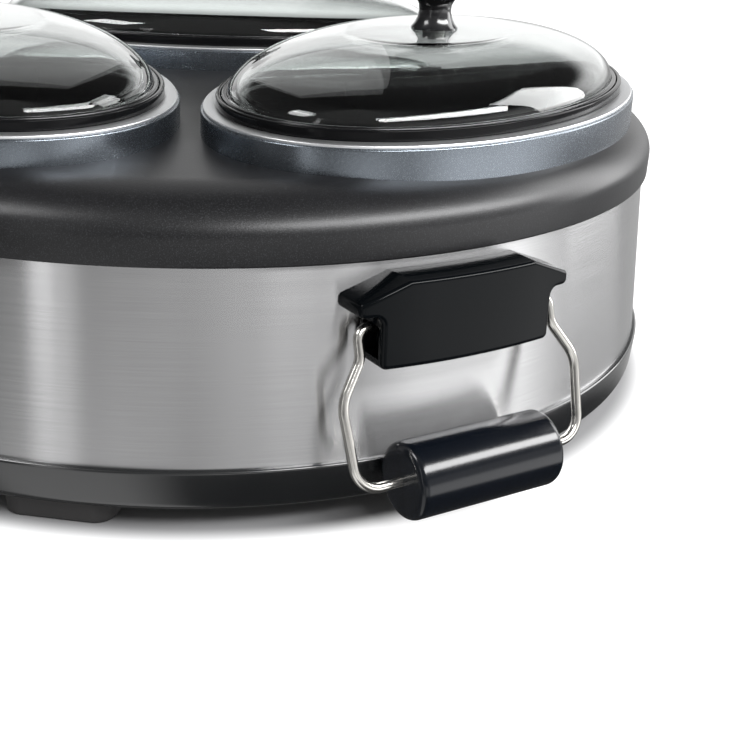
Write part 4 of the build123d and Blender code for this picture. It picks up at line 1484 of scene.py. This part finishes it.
@dataclass
class Studio:
    """The camera, floor, lamps and surroundings."""

    azimuth: float = 63.9
    distance: float = 2.916
    height: float = 0.984
    level: float = 0.0245
    yaw: float = 0.134
    pitch: float = 0.393
    roll: float = 0.041
    focal: float = 1268.93
    frame_pixels: float = 736.0
    soft: float = 0.30
    sensor: float = 36.0
    nearest: float = 0.01
    floor_half: float = 6.0
    paper: Sequence[float] = (0.86, 0.86, 0.87)
    # Paper colour that only the camera sees. It is darker than the colour light bounces off, so the shade
    # next to the object reads deeper: painted shade on top of the real shadow.
    shade_deepening_paper: Sequence[float] = (0.30, 0.30, 0.305)
    # Radii, in metres from the body's axis, over which the floor's camera-only glow fades in. Inside them the
    # glow is absent, which makes a painted shadow round the base.
    painted_shadow_edge: Pair = (0.202, 0.217)
    aim: float = 0.09
    brightest: float = 2.0
    card_edges: Sequence[Pair] = ((-0.46, -0.36), (-0.05, 0.05), (0.24, 0.36))
    table_cards: Sequence[Pair] = (
        (-180.0, 0.05), (0.0, 0.15), (10.0, 0.95), (42.0, 0.95), (58.0, 0.06), (180.0, 0.05),
    )
    low_cards: Sequence[Pair] = (
        (-180.0, 0.44), (-165.0, 0.48), (-150.0, 0.48), (-90.0, 0.60), (-20.0, 0.30), (14.0, 0.10),
        (20.0, 0.16), (23.0, 0.28), (27.0, 0.80), (31.0, 0.98), (35.0, 0.32), (46.0, 0.48),
        (56.0, 0.86), (70.0, 1.15), (80.0, 0.95), (92.0, 0.62), (114.0, 1.90), (145.0, 2.00),
        (158.0, 1.10), (166.0, 0.38), (180.0, 0.44),
    )
    wall_cards: Sequence[Pair] = (
        (-180.0, 0.40), (-168.0, 1.25), (-100.0, 1.25), (-75.0, 0.30), (-60.0, 0.15), (70.0, 0.15),
        (95.0, 0.60), (150.0, 0.60), (165.0, 0.40), (180.0, 0.40),
    )
    ceiling_cards: Sequence[Pair] = (
        (-180.0, 0.05), (-100.0, 0.04), (-30.0, 0.10), (10.0, 0.26), (95.0, 0.26), (140.0, 0.08),
        (180.0, 0.05),
    )
    lamps: Sequence[tuple[str, float, float, float, float, Pair, float]] = (
        ("key_box", 118.0, 3.0, 39.5, -14.0, (3.50, 0.80), 18.0),
        ("left_box", 0.0, 1.2, 49.0, 0.0, (0.40, 0.30), 10.0),
        ("left_strip", 29.0, 1.2, 12.0, 0.0, (0.10, 0.80), 1.8),
        ("right_wall", 166.0, 1.2, 20.0, 0.0, (0.55, 0.90), 5.0),
        ("back_box", 247.0, 1.3, 42.0, 0.0, (0.60, 0.90), 0.5),
    )

    def camera(self) -> None:
        """The photograph's viewing angle."""
        level = cos(self.pitch)
        forward = Vector((sin(self.yaw) * level, cos(self.yaw) * level, -sin(self.pitch)))
        right = Vector((cos(self.yaw), -sin(self.yaw), 0))
        up = right.cross(forward)
        side = right * cos(self.roll) + up * sin(self.roll)
        top = up * cos(self.roll) - right * sin(self.roll)
        turn = Matrix.Rotation(radians(self.azimuth), 4, "Z")
        place = Vector((0, -self.distance, self.height)) * WALL_RADIUS + Vector((0, 0, self.level))
        axes = Matrix((side, top, -forward)).transposed().to_4x4()
        lens = bpy.data.cameras.new("camera")
        lens.sensor_width = self.sensor
        lens.lens = self.focal / self.frame_pixels * self.sensor
        lens.clip_start = self.nearest
        seen = added("camera", lens)
        seen.matrix_world = turn @ Matrix.Translation(place) @ axes
        bpy.context.scene.camera = seen

    def floor(self) -> None:
        """A pale floor that the camera sees as white away from the body; round the body a painted shadow
        deepens the real one, because the camera-only glow fades out there over a darker paper.
        """
        made = bpy.data.materials.new("studio_floor")
        made.use_nodes = True
        made.cycles.emission_sampling = "NONE"
        tree = Tree(made.node_tree)
        path = tree.add("ShaderNodeLightPath")
        seen = tree.out(path, "Is Camera Ray") + tree.out(path, "Is Transmission Ray")
        # The camera sees the darker paper and lit rays see the pale one. Near the object this deepens the
        # real shade into painted shade.
        matte = tree.add("ShaderNodeBsdfDiffuse", {"Color": tree.tint(seen, self.paper, self.shade_deepening_paper)})
        x, y, _ = tree.split(tree.place())
        # The glow that whitens the floor is zero near the body's axis and full beyond the outer radius. This
        # makes a painted shadow under and round the base.
        near, far = self.painted_shadow_edge
        away = (x * x + y * y).between(near * near, far * far)
        glow = tree.add("ShaderNodeEmission", {"Color": (1, 1, 1, 1), "Strength": seen * away})
        clear = tree.add("ShaderNodeBsdfTransparent").outputs[0]
        both = tree.add("ShaderNodeAddShader", {0: matte.outputs[0], 1: glow.outputs[0]}).outputs[0]
        pick = tree.add("ShaderNodeMixShader", {0: tree.out(path, "Is Glossy Ray"), 1: both, 2: clear})
        tree.add("ShaderNodeOutputMaterial", {"Surface": pick.outputs[0]})
        size = self.floor_half
        mesh = bpy.data.meshes.new("floor")
        corners = [(-size, -size, 0), (size, -size, 0), (size, size, 0), (-size, size, 0)]
        mesh.from_pydata(corners, [], [(0, 1, 2, 3)])
        mesh.materials.append(made)
        added("floor", mesh)

    def surroundings(self) -> None:
        """A world that shows white to the camera, and to gloss the cards that stand round the object."""
        world = bpy.data.worlds.new("studio")
        world.use_nodes = True
        world.cycles.sampling_method = "NONE"
        bpy.context.scene.world = world
        tree = Tree(world.node_tree)
        path = tree.add("ShaderNodeLightPath")
        glossy = tree.out(path, "Is Glossy Ray")
        diffuse = tree.out(path, "Is Diffuse Ray")
        x, y, z = tree.split(tree.add("ShaderNodeTexCoord").outputs["Generated"])
        turn = x.atan2(y * -1.0) * (1 / (2 * pi)) + 0.5
        table, low, wall, ceiling = (
            tree.ramp(turn, [(angle / 360 + 0.5, level / self.brightest) for angle, level in cards])
            for cards in (self.table_cards, self.low_cards, self.wall_cards, self.ceiling_cards)
        )
        level = table * self.brightest
        for shade, (start, end) in zip((low, wall, ceiling), self.card_edges):
            above = z.between(start, end)
            level = level * (1.0 - above) + shade * above * self.brightest
        strength = (1.0 - glossy - diffuse) + diffuse * self.soft + glossy * level
        shown = tree.add("ShaderNodeBackground", {"Color": (1, 1, 1, 1), "Strength": strength})
        tree.add("ShaderNodeOutputWorld", {"Surface": shown.outputs[0]})

    def lamp(
        self, name: str, angle: float, away: float, rise: float, tilt: float, size: Pair, glow: float
    ) -> None:
        """A soft box that faces the object.

        Args:
            name: The lamp's name.
            angle: Its angle from the body's front, counter-clockwise from above.
            away: Its distance from the object, in metres.
            rise: Its angle above the table, in degrees.
            tilt: How far its face is turned about its own middle, in degrees.
            size: Its width and height, in metres.
            glow: How bright its face looks, with white paper as 1.
        """
        light = bpy.data.lights.new(name, "AREA")
        light.shape = "RECTANGLE"
        light.size, light.size_y = size
        light.energy = glow * pi * size[0] * size[1]
        middle = Vector((0, 0, self.aim))
        place = around(angle, away * cos(radians(rise)), away * sin(radians(rise))) + middle
        turned = (middle - place).to_track_quat("-Z", "Y").to_matrix().to_4x4()
        spin = Matrix.Rotation(radians(tilt), 4, "Z")
        added(name, light).matrix_world = Matrix.Translation(place) @ turned @ spin

    def build(self) -> None:
        """Set up the whole studio."""
        self.camera()
        self.floor()
        self.surroundings()
        for lamp in self.lamps:
            self.lamp(*lamp)
        bpy.context.scene.view_settings.view_transform = "Standard"


@dataclass
class CarriedNodes:
    """CAD nodes that stay as they are and get their finish."""

    plain: Finish = SCREW_METAL
    finishes: dict[str, Finish] = field(
        default_factory=lambda: {
            "foot_screws": SCREW_METAL,
            "foot": FOOT_RUBBER,
            "heating_well": WELL_METAL,
            "heater_band": WELL_METAL,
            "control_panel": PANEL_PLASTIC,
            "dial_shaft": SCREW_METAL,
            "dial": DIAL_PLASTIC,
            "switch": SWITCH_PLASTIC,
            "indicator_lenses": LENS_PLASTIC,
            "terminal_block": TERMINAL_PLASTIC,
            "cord_gland": DIAL_PLASTIC,
        }
    )

    def dress(self) -> None:
        """Give each CAD node the finish whose key starts its name, or the plain one."""
        for name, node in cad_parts.items():
            finish = next((f for start, f in self.finishes.items() if name.startswith(start)), self.plain)
            node.data.materials.clear()
            node.data.materials.append(finish.material())
            log.info("%s is finished as %s", name, finish.name)


def main() -> None:
    """Build the classes in order."""
    logging.basicConfig(level=logging.INFO, format="%(message)s")
    Studio().build()
    CarriedNodes().dress()
    Body().build()
    for pot in POTS:
        Vessel(pot).build()
    for side, angle in HANDLE_ANGLES.items():
        Handle(side, angle).build()
    ControlMarks().build()
    bpy.context.view_layer.update()


if __name__ == "__main__":
    main()
